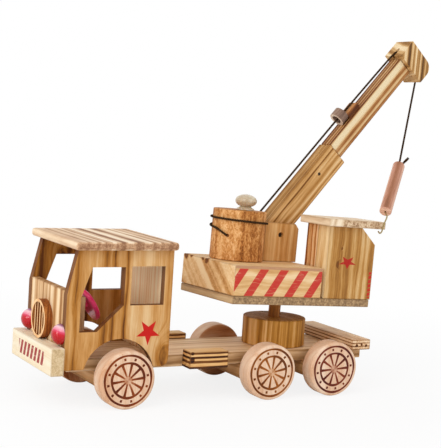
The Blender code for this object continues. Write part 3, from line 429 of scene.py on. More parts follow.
cabFront = {
    "colours": ("#f2d6ae", "#dcb585", "#bb8854", "#8a5c30"),
    "rings": 0.85, "ring": 6.5, "fine": 0.10, "wave": 0.8, "waveLength": 90, "pith": (70, 8), "seed": 2.3,
}
# The back board's colours are painted pale: painted light, so the board in the cab's shade reads as lit
cabBack = {
    "colours": ("#ffe6bc", "#fbd09a", "#e4b074", "#b07f48"),
    "rings": 0.50, "ring": 3.2, "fine": 0.25, "tone": 0.14, "wave": 0.6, "pith": (80, 10), "edge": 0.0,
    "seed": 5.1,
}
cabRoof = {
    "colours": ("#f8e4c8", "#e6c8a4", "#c89d78", "#8f6446"),
    "rings": 1.05, "ring": 7.0, "fine": 0.14, "blotch": 0.35, "tone": 0.50, "wave": 1.2, "waveLength": 110,
    "pith": (75, 12), "endDark": 0.36, "endRings": 0.22, "edge": 0.0, "seed": 1.1,
}
bumper = {
    "colours": ("#f6ead2", "#ecd9b8", "#d2b78c", "#a1815a"),
    "rings": 0.35, "ring": 6.0, "tone": 0.22, "wave": 0.8, "pith": (30, 60), "endDark": 0.44,
    "endSpeckle": 0.14, "printSide": -1,
    "print": [
        (barsMask, {"along": (-27, 27), "across": (-5.6, 5.2), "slant": -0.30, "start": -27, "pitch": 7.6,
                    "width": 4.6, "colour": "#9c1c22"}),
    ],
}
# Grille: slat and rim faces turned to the near side are painted dark brown as painted shade; the front faces
# are painted lighter as a painted highlight
grille = {
    "colours": ("#f3c690", "#d8924e", "#8e4c18", "#3c1804"),
    "rings": 0.30, "ring": 4.0, "tone": 0.46, "fine": 0.15, "edge": 0.0, "wave": 0.6, "seed": 7.7,
    "endSpeckle": 0.1, "faceToneAndShade": [((0, -1, 0), 0.22), ((0, 0, 1), -0.45)],
}
steeringPost = {
    "colours": ("#f0cba0", "#dcb082", "#bd8a58", "#8a5a2e"), "rings": 0.3, "tone": 0.34, "edge": 0.2,
}
# The cab sides' inner faces are painted darker: painted shade inside the cab
dress("cab_side_left", truckPlace, "zxy", {**cabSide, "faceToneAndShade": [((0, 0, 1), 0.26)]})
dress("cab_side_right", truckPlace, "zxy", {
    **cabSide, "knots": [(30, -20, 5)], "printSide": 1, "faceToneAndShade": [((0, 0, -1), 0.26)],
})
for name, axes, look in (
    ("cab_front", "zyx", cabFront), ("cab_back", "zyx", cabBack), ("cab_roof", "yxz", cabRoof),
    ("bumper", "yzx", bumper), ("grille", "zyx", grille), ("steering_post", "zyx", steeringPost),
):
    dress(name, truckPlace, axes, look)
print("truck cab dressed")

# Chassis: a pale beam, brown axle blocks, and striped plywood for the tanks and the rear crossbar
# The beam's two long sides are painted darker than its top: painted shade
chassisBeam = {
    "colours": ("#f6d8b0", "#e6bf92", "#bd9060", "#8a6138"),
    "rings": 0.6, "tone": 0.20, "pith": (55, 26), "faceToneAndShade": [((0, 1, 0), 0.42), ((0, -1, 0), 0.42)],
    "seed": 3.3,
}
axleBlock = {"colours": ("#dcb07c", "#c4925c", "#9a6a38", "#63401c"), "rings": 0.4, "tone": 0.40, "edge": 0.2}
plyTank = {
    "wood": "scorchedPlywood", "colours": ("#f0ca92", "#dba562", "#8c5424", "#2e1204"),
    "streaks": [(0.0, 1.0), (0.11, 0.94), (0.15, 0.28), (0.29, 0.22), (0.34, 0.84), (0.45, 0.78),
                (0.49, 0.22), (0.57, 0.22), (0.61, 0.98), (0.70, 0.98), (0.74, 0.20), (0.83, 0.24),
                (0.87, 0.92), (0.94, 0.90), (0.97, 0.28), (1.0, 0.22)],
    "rings": 0.0, "fine": 0.0, "fibre": 0.30, "blotch": 0.42, "tone": 0.52, "wave": 0.35, "edge": 0.55,
    "endDark": 0.06, "endRings": 1.0, "endSpeckle": 0.15,
    "knots": [(-15, 0.5, 6.6, 2.4), (-15, 5.5, 6.6, 1.6)],
}
# The crossbar's colours are paler and its top is painted lighter: painted light on wood in the deck's shade
plyCrossbar = {
    **plyTank, "colours": ("#fbe2c2", "#eac49a", "#ac7440", "#4a2206"),
    "streaks": [(0.0, 0.90), (0.06, 0.80), (0.10, 0.44), (0.28, 0.40), (0.32, 0.92), (0.38, 0.92),
                (0.42, 0.34), (0.60, 0.28), (0.64, 0.88), (0.69, 0.86), (0.73, 0.30), (0.90, 0.26),
                (0.94, 0.70), (1.0, 0.74)],
    "endDark": 0.05, "endSpeckle": 0.20, "tone": 0.44, "faceToneAndShade": [((0, 1, 0), -0.30)],
    "knots": [(-43, -0.5, -4.5, 1.7), (-43, 0.0, 0.5, 1.5), (-43, -0.8, 5.0, 1.6)],
}
turntable = {
    "colours": ("#e4b678", "#c08638", "#9a641a", "#54300a"),
    "rings": 0.55, "ring": 4.0, "fine": 0.22, "wave": 0.8, "waveLength": 120, "pith": (30, 9), "edge": 0.0,
    "endDark": -0.06, "endRings": 0.6, "seed": 4.2,
}
dress("chassis_beam", truckPlace, "xyz", chassisBeam)
for place in ("front", "mid", "rear"):
    dress(f"{place}_axle_block", truckPlace, "yxz", axleBlock)
for side in ("left", "right"):
    dress(f"tank_{side}", truckPlace, "xzy", plyTank)
dress("rear_crossbar", truckPlace, "yzx", plyCrossbar)
dress("turntable", truckPlace, "zxy", turntable)
print("chassis dressed")

# Crane deck: the block has a printed warning band on both sides, the board under it shows its end grain
deckBlock = {
    "colours": ("#f2d6aa", "#dfb47c", "#bd8648", "#74441a"),
    "rings": 0.45, "ring": 4.0, "fine": 0.15, "tone": 0.30, "wave": 2.2, "waveLength": 45, "pith": (-48, 50),
    "endDark": 0.0, "endRings": 0.10, "endSpeckle": 0.12, "endStreaks": (0.075, 0.066, 0.36), "seed": 6.4,
    "edge": 0.35,
    "knots": [(-42.7, 12.0, -3, 3.6), (-42.7, 12.2, -10, 2.0), (-42.7, 11.5, -37, 4.2),
              (-42.7, 12.6, -28, 2.6)],
    "print": [
        (barsMask, {"along": (-60, 60), "across": (9.75, 12.0), "slant": 0, "start": -90, "pitch": 400,
                    "width": 399, "colour": "#b98a68"}),
        (barsMask, {"along": (-42.4, 42.4), "across": (-12.2, 9.65), "slant": 0.649, "start": -44.6,
                    "pitch": 19.4, "width": 8.2, "colour": "#c32a26"}),
    ],
}
deckBoard = {
    "colours": ("#dcc39a", "#bb9a70", "#917352", "#5f4a36"),
    "rings": 0.5, "ring": 4.0, "tone": 0.34, "pith": (60, 14), "endDark": 0.24, "endSpeckle": 0.26,
    "seed": 8.8,
}
# Slew peg: colours painted pale as painted light, since the peg stands in shade under the deck; the winch
# spindle shares them
slewPeg = {"colours": ("#eab47a", "#cf8c48", "#a06222", "#63360f"), "tone": 0.40, "edge": 0.0, "pith": (3, 2)}
dress("deck_block", turretPlace, "xzy", deckBlock)
dress("deck_board", turretPlace, "yxz", deckBoard)
dress("slew_peg", turretPlace, "zxy", slewPeg)
dress("winch_spindle", turretPlace, "zxy", slewPeg)

# Crane cab: two blocks under one board
craneBlock = {
    "colours": ("#ecd0a0", "#cfa265", "#b07b38", "#744416"),
    "streaks": [(0.0, 0.40), (0.06, 0.30), (0.16, 0.55), (0.26, 0.66), (0.33, 0.46), (0.46, 0.62),
                (0.56, 0.40), (0.66, 0.66), (0.70, 0.30), (0.78, 0.54), (0.81, 0.10), (0.86, 0.20),
                (0.90, 0.60), (1.0, 0.44)],
    "rings": 0.22, "ring": 6.0, "fine": 0.16, "tone": 0.57, "wave": 2.4, "pith": (50, 30), "seed": 9.6,
    # the block's front face is painted lighter: painted light from the front
    "knots": [(-1.5, -12.5, 1.6), (12, -9.5, 0.8)], "faceToneAndShade": [((0, -1, 0), -0.26)], "printSide": -1,
    "print": [
        (starMask, {"along": 0.6, "across": -2.75, "radius": 9.6, "squash": 0.60, "colour": "#b01a16"}),
        (barsMask, {"along": (-28.8, -6.8), "across": (20.9, 23.9), "slant": 0.25, "start": 0, "pitch": 3.6,
                    "width": 2.7, "colour": "#c0281e"}),
    ],
}
farBlock = {
    **craneBlock, "streaks": None, "print": None, "knots": (), "rings": 0.9, "ring": 5.5, "tone": 0.42,
    "colours": ("#ecc79c", "#d6a26a", "#a9662e", "#5c2a0c"), "pith": (25, 50), "seed": 2.9, "faceToneAndShade": (),
}
craneRoof = {
    "colours": ("#f6e3c6", "#e0c4a0", "#b08a66", "#74543a"),
    "rings": 0.5, "ring": 6.0, "tone": 0.18, "pith": (70, 12), "endDark": 0.34, "endSpeckle": 0.30,
    "endFrom": -15, "seed": 5.7,
}
dress("crane_cab_left", turretPlace, "zxy", craneBlock)
dress("crane_cab_right", turretPlace, "zxy", farBlock)
dress("crane_cab_roof", turretPlace, "yxz", craneRoof)

# Boom bracket and boom
bracket = {
    "colours": ("#ecc58c", "#d29c5c", "#ae7030", "#6b3a0c"),
    "streaks": [(0.0, 0.56), (0.18, 0.34), (0.30, 0.26), (0.40, 0.60), (0.46, 0.34), (0.54, 0.70),
                (0.60, 0.40), (0.72, 0.62), (0.80, 0.36), (0.90, 0.58), (1.0, 0.50)],
    "rings": 0.2, "tone": 0.32, "wave": 0.8, "pith": (40, 20), "seed": 3.9,
}
boomLower = {
    "colours": ("#ecce9e", "#d3a468", "#a87434", "#5c300c"),
    "streaks": [(0.0, 0.66), (0.10, 0.40), (0.18, 0.62), (0.26, 0.30), (0.40, 0.52), (0.48, 0.66),
                (0.54, 0.38), (0.62, 0.58), (0.74, 0.40), (0.80, 0.86), (0.85, 0.30), (0.94, 0.36),
                (1.0, 0.55)],
    "rings": 0.42, "ring": 4.0, "pith": (-30, 40), "waveLength": 130, "fine": 0.26, "endSpeckle": 0.1,
    "seed": 1.9, "faceToneAndShade": [((0, 1, 0), 0.20)],
}
boomUpper = {
    "colours": ("#e9d5ae", "#d4ad78", "#a26832", "#54200a"),
    "streaks": [(0.0, 0.74), (0.20, 0.60), (0.44, 0.56), (0.50, 0.62), (0.54, 0.34), (0.64, 0.22),
                (0.86, 0.20), (1.0, 0.36)],
    "rings": 0.60, "ring": 2.6, "tone": 0.40, "pith": (-34, 40), "wave": 0.4, "waveLength": 150, "seed": 7.1,
    "faceToneAndShade": [((0, 1, 0), 0.48)],
}
boomHead = {
    "colours": ("#efd6ac", "#d3a970", "#a5763e", "#61401e"),
    "rings": 1.0, "ring": 4.2, "fine": 0.14, "tone": 0.56, "wave": 0.4, "pith": (-90, 20), "edge": 0.0,
    # the head's front face is painted lighter and its far face darker: painted light and shade
    "endDark": 0.05, "endRings": 0.2, "faceToneAndShade": [((0, -1, 0), -0.2), ((0, 0, 1), 0.1)], "seed": 6.2,
}
guideRing = {
    "colours": ("#e2cbb2", "#b09480", "#806454", "#45322a"), "tone": 0.58, "edge": 0.0, "rings": 0.3,
    "pith": (3, 4), "endDark": -0.52, "endSpeckle": 0.05,
}
guideBlock = {"colours": ("#cf9560", "#b0723c", "#854c20", "#4f260a"), "tone": 0.5, "edge": 0.2}
dress("bracket_left", turretPlace, "zxy", bracket)
dress("bracket_right", turretPlace, "zxy", {**bracket, "seed": 8.1})
dress("boom_rest", turretPlace, "zxy", {**bracket, "streaks": None})
dress("boom_lower", boomPlace, "xzy", boomLower)
dress("boom_upper", boomPlace, "xzy", boomUpper)
headPlace = boomPlace @ Matrix.Rotation(math.radians(crane["boomAngle"]), 4, "Y")
dress("boom_head", headPlace, "zxy", boomHead)
dress("guide_ring", boomPlace, "xyz", guideRing)
dress("guide_block", boomPlace, "xyz", guideBlock)

# Winch log: figured wood whose grain ripples, with a dark notch that holds the rope's end
winchLog = {
    "colours": ("#ecbc84", "#cf9150", "#a36226", "#5c2d0a"),
    "rings": 0.40, "ring": 6.0, "fine": 0.10, "fibre": 0.30, "blotch": 0.60, "tone": 0.47, "wave": 2.2,
    "waveLength": 22, "pith": (12, 9), "edge": 0.0, "endDark": 0.05, "endRings": 0.5, "endSpeckle": 0.12,
    "seed": 4.9, "ripple": 0.48,
}
dress("winch_log", winchPlace, "zxy", winchLog)
print("crane dressed")


def plainFinish(name, settings):
    # lacquer, resin and metal: one principled shader, its colour varied by a noise in millimetres
    made, tree = newMaterial(name)
    coordinates = addNode(tree, "TexCoord")
    spots = addNode(tree, "Mapping", {"Vector": coordinates.outputs["Object"], "Scale": perMm})
    grain = {"Scale": settings["scale"], "Detail": 3.0, "Roughness": 0.6}
    noise = addNode(tree, "TexNoise", {"Vector": spots, **grain})
    colour = fillRamp(addNode(tree, "ValToRGB", {0: noise}), settings["colours"])
    smooth, dull = settings["roughness"]
    gloss = addNode(tree, "MapRange", {0: noise, 1: 0.3, 2: 0.7, 3: smooth, 4: dull})
    bump = addNode(tree, "Bump", {"Strength": settings.get("bump", 0.1), "Distance": 0.0001, "Height": noise})
    links = {"Base Color": colour, "Roughness": gloss, "Normal": bump, **settings["shader"]}
    addNode(tree, "OutputMaterial", {0: addNode(tree, "BsdfPrincipled", links)})
    return made


# Wire nails and axles: dark, slightly rusty steel
nailSteel = {
    "colours": [(0.3, "#2a211b"), (0.7, "#55483c")], "scale": 0.9, "roughness": (0.35, 0.55),
    "shader": {"Metallic": 1.0},
}
assign(plainFinish("nailSteel", nailSteel), "front_axle", "mid_axle", "rear_axle", "boom_pin", "boom_nail")
# Brass wire, gone dull and greenish
brassWire = {
    "colours": [(0.3, "#8d7a4c"), (0.7, "#b9a574")], "scale": 1.2, "roughness": (0.32, 0.5),
    "shader": {"Metallic": 1.0},
}
assign(plainFinish("dullBrassWire", brassWire), "hook_wire")
# The winch's knob: a cast cream resin, cloudy inside and glossy outside
castResin = {
    "colours": [(0.3, "#b49d7e"), (0.7, "#d6c6a8")], "scale": 0.25, "roughness": (0.14, 0.24), "bump": 0.03,
    "shader": {"Subsurface Weight": 0.35, "Subsurface Radius": (0.004, 0.003, 0.002), "Coat Weight": 0.4,
               "IOR": 1.5},
}
assign(plainFinish("castCreamResin", castResin), "winch_knob")


def domeFinish(name, settings, heart):
    # glossy dyed resin or lacquer: its colour changes with the distance from a heart, mirrored to both sides
    made, tree = newMaterial(name)
    at = addNode(tree, "TexCoord").outputs["Object"]
    folded = addNode(tree, "VectorMath", {0: at, 1: (1, 0, 1)}, operation="MULTIPLY")
    sides = addNode(tree, "VectorMath", {0: at}, operation="ABSOLUTE")
    mirrored = addNode(tree, "VectorMath", {0: sides, 1: (0, 1, 0), 2: folded}, operation="MULTIPLY_ADD")
    away = addNode(tree, "VectorMath", {0: mirrored, 1: heart}, operation="DISTANCE")
    share = addNode(tree, "MapRange", {0: away, 1: 0.0, 2: settings["reach"] * mm})
    colour = fillRamp(addNode(tree, "ValToRGB", {0: share}), settings["colours"])
    shader = addNode(tree, "BsdfPrincipled", {
        "Base Color": colour, "Roughness": settings["roughness"], "IOR": 1.5, "Specular IOR Level": 0.3,
        "Coat Weight": settings["coat"], "Coat Roughness": 0.04,
    })
    addNode(tree, "OutputMaterial", {0: shader})
    return made


# Headlamps: half beads of pink resin over a crimson heart that sits low in them; the pale pink band above the
# heart is a painted highlight, and the colour turns dark mauve at the far edge
lampLow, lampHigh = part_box("headlight_right")
lampMiddle = (lampLow + lampHigh) / 2
headlight = {
    # crimson near the heart, then pink, then the pale painted highlight, then a dark mauve edge
    "colours": [(0.0, "#8c000c"), (0.50, "#b4000c"), (0.60, "#c40420"), (0.65, "#d43a5c"), (0.70, "#e894a6"),
                (0.755, "#f0c4cc"), (0.79, "#94587a"), (1.0, "#94587a")],
    "reach": 16.0, "lower": 5.0, "behind": 1.0, "roughness": 0.12, "coat": 0.3,
}
heart = (lampHigh.x - headlight["behind"] * mm, lampMiddle.y, lampMiddle.z - headlight["lower"] * mm)
assign(domeFinish("dyedResin.headlamps", headlight, heart), "headlight_left", "headlight_right")
# Steering wheel: bright pink lacquer
steering = {
    "colours": [(0.0, "#ff5a92"), (0.6, "#ff3f80"), (0.85, "#ff6c9e"), (1.0, "#f52c6e")], "reach": 13.5,
    "roughness": 0.30, "coat": 0.4,
}
wheelLow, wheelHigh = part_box("steering_wheel")
assign(domeFinish("pinkLacquer.steering", steering, tuple((wheelLow + wheelHigh) / 2)), "steering_wheel")
print("metal, resin and lacquer done")


def gridMesh(points, values):
    # points is (rows, columns, 3): the columns close on themselves, and each end row on its middle point
    rows, columns = points.shape[:2]
    corner = np.arange(rows * columns).reshape(rows, columns)
    following = np.roll(corner, -1, axis=1)
    quads = np.stack([corner[:-1], following[:-1], following[1:], corner[1:]], axis=-1).reshape(-1, 4)
    vertices = np.concatenate([points.reshape(-1, 3), points[:1].mean(1), points[-1:].mean(1)])
    levels = np.concatenate([values.reshape(-1), values[:1].mean(1), values[-1:].mean(1)])
    faces = quads.tolist()
    for ring, after, tip in ((following[0], corner[0], 0), (corner[-1], following[-1], 1)):
        faces += np.stack([ring, after, np.full(columns, rows * columns + tip)], axis=-1).tolist()
    # the volume's sign says whether the faces point outwards
    a, b, c, d = (vertices[quads[:, place]] for place in range(4))
    if (a * (np.cross(b, c) + np.cross(c, d))).sum() < 0:
        faces = [face[::-1] for face in faces]
    return vertices, faces, levels


def addPiece(name, shapes, attribute, body, finish, replaced):
    # one object from one or more closed grids, smooth shaded, at the origin with its place in its mesh
    vertices, faces, levels = [], [], []
    for some, fewer, level in shapes:
        base = sum(len(v) for v in vertices)
        vertices.append(some)
        faces += [[index + base for index in face] for face in fewer]
        levels.append(level)
    mesh = bpy.data.meshes.new(name)
    mesh.from_pydata(np.concatenate(vertices).tolist(), [], faces)
    stored = mesh.attributes.new(attribute, "FLOAT", "POINT")
    stored.data.foreach_set("value", np.concatenate(levels).astype(np.float32))
    mesh.shade_smooth()
    mesh.materials.append(finish)
    made = bpy.data.objects.new(name, mesh)
    bpy.context.scene.collection.objects.link(made)
    if body:
        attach(made, body)
    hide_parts(replaced)
    return made


# Wheels: turned discs of pale beech, with a wheel's rings, dots and spokes burnt into the outer face
wheel = {
    "radius": 22.5, "width": 15.0, "round": 2.2, "bore": 2.3, "boreDepth": 9.3, "inner": 0.4,
    "rings": [(19.05, 0.72), (13.3, 0.78)],  # middle radius and half width
    "dots": (16.3, 0.78, 0.84), "dotCount": 12, "dotTurn": 0.09,  # middle radius, half width, half length
    "spokes": 10, "spokeFrom": 2.8, "spokeTo": 12.8, "spokeHalf": (0.50, 0.90), "spokeStarts": (1.8, 3.4),
    "hub": 3.0, "hubFade": 1.4, "hubBurn": 0.36, "wobble": ((0.18, 3, 1), (0.10, 7, 2)),
    "depth": 0.32, "columns": 240,
}
wheelWood = {
    "wood": "turnedBeech", "colours": ("#efd4ba", "#deb594", "#c48a5e", "#8a4616"),
    "rings": 0.25, "fine": 0.10, "fibre": 0.20, "blotch": 0.40, "tone": 0.24, "pith": (50, 60),
    "edge": 0.0, "endDark": 0.06, "endRings": 0.6, "endSpeckle": 0.06, "roughness": 0.6,
    "burn": ("#cc7c38", "#8a3c08", "#561f03"),
}
wheelTints = {
    "front": {"seed": 1.0},
    "mid": {"seed": 2.0, "burn": ("#d8903a", "#9a5410", "#602e06")},
    "rear": {"seed": 3.0, "burn": ("#c07048", "#7e3418", "#50190c")},
}
# Where each wheel's first spoke stands, left and right, in radians from the rear
wheelTurns = {"front": (0.117, 0.35), "mid": (0.20, 1.65), "rear": (0.06, 2.95)}


def line(distance, half, soft=0.22):
    # 1 up to half from the line's middle, and from there down to 0 over soft
    return np.clip((half + soft - np.abs(distance)) / soft, 0, 1)


def toNearest(angle, count, turn=0):
    # signed angle to the nearest of a number of marks round the wheel
    step = 2 * math.pi / count
    return (angle - turn + step / 2) % step - step / 2


def wheelShape(middle, sign, phase):
    # a profile of radius and depth turned about the axle, and the burnt pattern pressed into its outer face
    radius, width, rim, bore = (wheel[key] for key in ("radius", "width", "round", "bore"))
    bend = np.radians(np.linspace(0, 90, 7))
    profile = [(r, 0.0) for r in np.linspace(wheel["inner"], radius - rim, 100)]
    profile += [(radius - rim + rim * math.sin(a), rim - rim * math.cos(a)) for a in bend[1:]]
    profile += [(radius, width / 2)]
    profile += [(radius - rim + rim * math.cos(a), width - rim + rim * math.sin(a)) for a in bend]
    profile += [(r, width) for r in np.linspace(radius - rim, bore, 12)[1:]]
    profile = np.array(profile + [(bore, width - wheel["boreDepth"])])
    r, z = profile[:, :1], profile[:, 1:]
    a = np.linspace(0, 2 * math.pi, wheel["columns"], endpoint=False)[None, :]
    face = (z < 0.01) * (r < radius - rim + 0.01)

    # How deeply each spot is burnt: rings drawn with an unsteady hand, dots, spokes that deepen outwards, hub
    wobble = sum(size * np.sin(waves * a + turns * phase) for size, waves, turns in wheel["wobble"])
    burn = [line(r - at - 0.4 * wobble, half + 0.5 * wobble) for at, half in wheel["rings"]]
    dotRadius, dotHalf, dotLength = wheel["dots"]
    off = toNearest(a, wheel["dotCount"], wheel["dotTurn"])
    burn.append(line(r * np.sin(off), dotHalf) * line(r * np.cos(off) - dotRadius, dotLength, 0.3))
    off = toNearest(a, wheel["spokes"])
    thin, thick = wheel["spokeHalf"]
    share = np.clip((r - wheel["spokeFrom"]) / (wheel["spokeTo"] - wheel["spokeFrom"]), 0, 1)
    faint, full = wheel["spokeStarts"]
    within = np.clip((r - faint) / (full - faint), 0, 1)
    spoke = line(r * np.sin(off), thin + (thick - thin) * share, 0.30)
    burn.append(spoke * line(r, wheel["spokeTo"] - 0.05, 0.3) * within * (0.62 + 0.38 * share))
    burn.append(np.broadcast_to(wheel["hubBurn"] * line(r, wheel["hub"], wheel["hubFade"]), spoke.shape))
    # the hot iron bites more and less deeply round the wheel
    strength = 0.80 + 0.20 * np.sin(a * 2 + phase * 3) + 0.08 * np.sin(11 * a + r)
    burn = np.clip(np.max(burn, axis=0) * strength, 0, 1) * face

    out = (width / 2 - z - wheel["depth"] * burn) * sign
    points = np.stack([r * np.cos(a + phase), out, r * np.sin(a + phase)], axis=-1) * mm
    return gridMesh(points + np.array(middle), burn)


for place, tint in wheelTints.items():
    for side, sign, phase in zip(("left", "right"), (-1, 1), wheelTurns[place]):
        node = f"wheel_{place}_{side}"
        low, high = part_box(node)
        middle = (low + high) / 2
        wheelPlace = Matrix.Translation(middle) @ Matrix.Rotation(-phase, 4, "Y")
        boardPlace = wheelPlace @ Matrix(((0, 1, 0), (0, 0, 1), (1, 0, 0))).to_4x4()
        half = [wheel["radius"], wheel["radius"], wheel["width"] / 2]
        look = {**wheelWood, **tint, "faceToneAndShade": [((0, 0, -sign), 0.50)]}  # the inner face is painted darker: painted shade
        finish = woodFinish(node, boardPlace, half, look)
        shape = wheelShape(middle, sign, phase)
        addPiece(f"burnt_{node}", [shape], "burn", f"{place}_wheels", finish, node)
print("wheels turned")

# The hoist rope: dark twine of three strands, in the five lengths that follow different parts of the crane
twine = {
    "radius": 0.92, "lobes": 3, "lobe": 0.05, "pitch": 6.0, "step": 0.45, "columns": 18, "spacing": 2.0,
    "colours": ("#0e0703", "#2f1d0e", "#5e4426"), "roughness": 0.85,
}


def twineFinish():
    # tarred jute with fine cross fibres: dark between the strands as painted shade, browner and paler on
    # their crowns as painted light
    made, tree = newMaterial("tarredTwine")
    crown = addNode(tree, "Attribute", attribute_name="crown").outputs["Fac"]
    coordinates = addNode(tree, "TexCoord")
    spots = addNode(tree, "Mapping", {"Vector": coordinates.outputs["Object"], "Scale": perMm})
    hairs = addNode(tree, "TexNoise", {"Vector": spots, "Scale": 2.2, "Detail": 3.0, "Roughness": 0.7})
    # painted shade between the strands and painted light on their crowns, read from the crown attribute
    strand = addNode(tree, "Math", {0: crown, 1: 0.75, 2: -0.22}, operation="MULTIPLY_ADD")
    tone = addNode(tree, "Math", {0: hairs, 1: 0.7, 2: strand}, operation="MULTIPLY_ADD")
    colour = fillRamp(addNode(tree, "ValToRGB", {0: tone}), [*zip((0.0, 0.55, 1.0), twine["colours"])])
    bump = addNode(tree, "Bump", {"Strength": 0.5, "Distance": 0.0002, "Height": hairs})
    shader = addNode(tree, "BsdfPrincipled", {
        "Base Color": colour, "Roughness": twine["roughness"], "Normal": bump, "Specular IOR Level": 0.1,
    })
    addNode(tree, "OutputMaterial", {0: shader})
    return made


def smoothRoute(knots):
    # Catmull-Rom: each stretch is the cubic through its two knots that leans on the knots before and after
    knots = np.array(knots, float)
    ends = np.concatenate([[2 * knots[0] - knots[1]], knots, [2 * knots[-1] - knots[-2]]])
    points = []
    for before, start, end, after in zip(ends, ends[1:], ends[2:], ends[3:]):
        steps = max(2, round(np.linalg.norm(end - start) / (twine["spacing"] * mm)))
        t = np.arange(steps)[:, None] / steps
        points.append(0.5 * (
            2 * start + (end - before) * t + (2 * before - 5 * start + 4 * end - after) * t**2
            + (3 * start - before - 3 * end + after) * t**3
        ))
    return np.concatenate(points + [knots[-1:]])


def twistedRope(path, swell=(1, 1), radius=twine["radius"]):
    # a three-lobed ring carried along the path, turned by the length gone over the lay's pitch
    step = np.linalg.norm(np.diff(path, axis=0), axis=1)
    gone = np.concatenate([[0], np.cumsum(step)])
    count = max(8, int(gone[-1] / (twine["step"] * mm)))
    even = np.linspace(0, gone[-1], count)
    centre = np.stack([np.interp(even, gone, path[:, axis]) for axis in range(3)], axis=-1)
    way = np.gradient(centre, axis=0)
    way /= np.linalg.norm(way, axis=1)[:, None]
    side = np.zeros_like(way)
    anyWay = np.array([0.3, 0.9, 0.2])  # no stretch of rope starts along it
    side[0] = np.cross(way[0], anyWay)
    side[0] /= np.linalg.norm(side[0])
    for i in range(1, count):
        moved = side[i - 1] - way[i] * (side[i - 1] @ way[i])
        side[i] = moved / np.linalg.norm(moved)
    other = np.cross(way, side)
    angle = np.linspace(0, 2 * math.pi, twine["columns"], endpoint=False)
    lobed = np.cos(twine["lobes"] * angle)
    lobes = radius * mm * (1 - twine["lobe"] + twine["lobe"] * lobed)
    thick = np.interp(np.linspace(0, 1, count), np.linspace(0, 1, len(swell)), swell)
    turn = even[:, None] / (twine["pitch"] * mm) * 2 * math.pi + angle[None, :]
    ring = (lobes[None, :] * thick[:, None])[..., None] * (
        np.cos(turn)[..., None] * side[:, None, :] + np.sin(turn)[..., None] * other[:, None, :]
    )
    # crown height, 1 on a strand's crown and 0 between strands, which the finish turns into painted shade and
    # light
    crown = np.tile((0.5 + 0.5 * lobed)[None, :], (count, 1))
    return gridMesh(centre[:, None, :] + ring, crown)


def placed(place, points):
    # rows of points turned and moved by the matrix
    turn = np.array(place)
    return np.array(points, float) @ turn[:3, :3].T + turn[:3, 3]


# Round the log: the angle runs back from the notch to where the rope leaves, and the height climbs as it goes
winding = {
    "radius": 23.4, "starts": 575, "leaves": 33, "leavesZ": 65.8, "climb": 8.6, "power": 2.2, "dip": 4.2,
    "dipAngle": 35, "dipPower": 1.5, "points": 300,
}


def windingPoints(angle):
    # a circle whose height falls by a power of the share turned, and dips once more into the notch
    starts, leaves, dipAngle = (math.radians(winding[key]) for key in ("starts", "leaves", "dipAngle"))
    steady = starts - dipAngle
    turnedBy = np.maximum(0, angle - leaves) / (steady - leaves)
    dip = np.maximum(0, angle - steady) / dipAngle
    height = winding["leavesZ"] - winding["climb"] * turnedBy ** winding["power"]
    height -= winding["dip"] * dip ** winding["dipPower"]
    radius = winding["radius"]
    return np.stack([radius * np.cos(angle), radius * np.sin(angle), height], axis=-1) * mm


ropeFinish = twineFinish()


def addRope(name, body, shapes, replaced):
    return addPiece(name, shapes, "crown", body, ropeFinish, replaced)


woundAngles = np.radians(np.linspace(winding["starts"], winding["leaves"], winding["points"]))
wound = placed(winchPlace, windingPoints(woundAngles))
straight = (wound[-1] - wound[-2]) / np.linalg.norm(wound[-1] - wound[-2])
addRope("twine_windings", "winch", [twistedRope(wound)], "rope_windings")

# The free run goes straight from the log to the ring on the boom.
boomRope = {
    "ring": (114.0, 0, 20.6), "guide": (132.0, 0, 20.2), "slot": (197.9, 0, 18.7), "slotDeep": (1.8, 16.0),
    "boreTop": (206.3, 0, 15.6), "boreEnd": (204.5, 0, -15.0), "inBore": (2.7, 1.8, 0.8),
}
freeRun = {"clear": 0.3, "leaves": 1.26, "bend": 2.7, "settles": 12.7, "atRing": 6.0}
ringPoint = placed(boomPlace, np.array([boomRope["ring"]]) * mm)[0]
start = wound[-1] + straight * freeRun["clear"] * mm
toRing = (ringPoint - start) / np.linalg.norm(ringPoint - start)
bendAt = start + straight * freeRun["bend"] * mm
runKnots = [
    start, start + straight * freeRun["leaves"] * mm, bendAt + toRing * freeRun["bend"] * mm,
    bendAt + toRing * freeRun["settles"] * mm, ringPoint - toRing * freeRun["atRing"] * mm, ringPoint,
]
run = addRope("twine_run", None, [twistedRope(smoothRoute(runKnots))], "rope_run")
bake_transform(run)

top, bottom = np.array(boomRope["boreTop"]), np.array(boomRope["boreEnd"])
down = (bottom - top) / np.linalg.norm(bottom - top)
intoSlot, slotFloor = boomRope["slotDeep"]
entry, nearEnd, end = boomRope["inBore"]
onBoom = np.array([
    boomRope["ring"], boomRope["guide"], boomRope["slot"], (top[0] - intoSlot, 0, slotFloor),
    top + down * entry, bottom - down * nearEnd, bottom - down * end,
])
addRope("twine_on_boom", "boom", [twistedRope(smoothRoute(placed(boomPlace, onBoom * mm)))], "rope_boom")

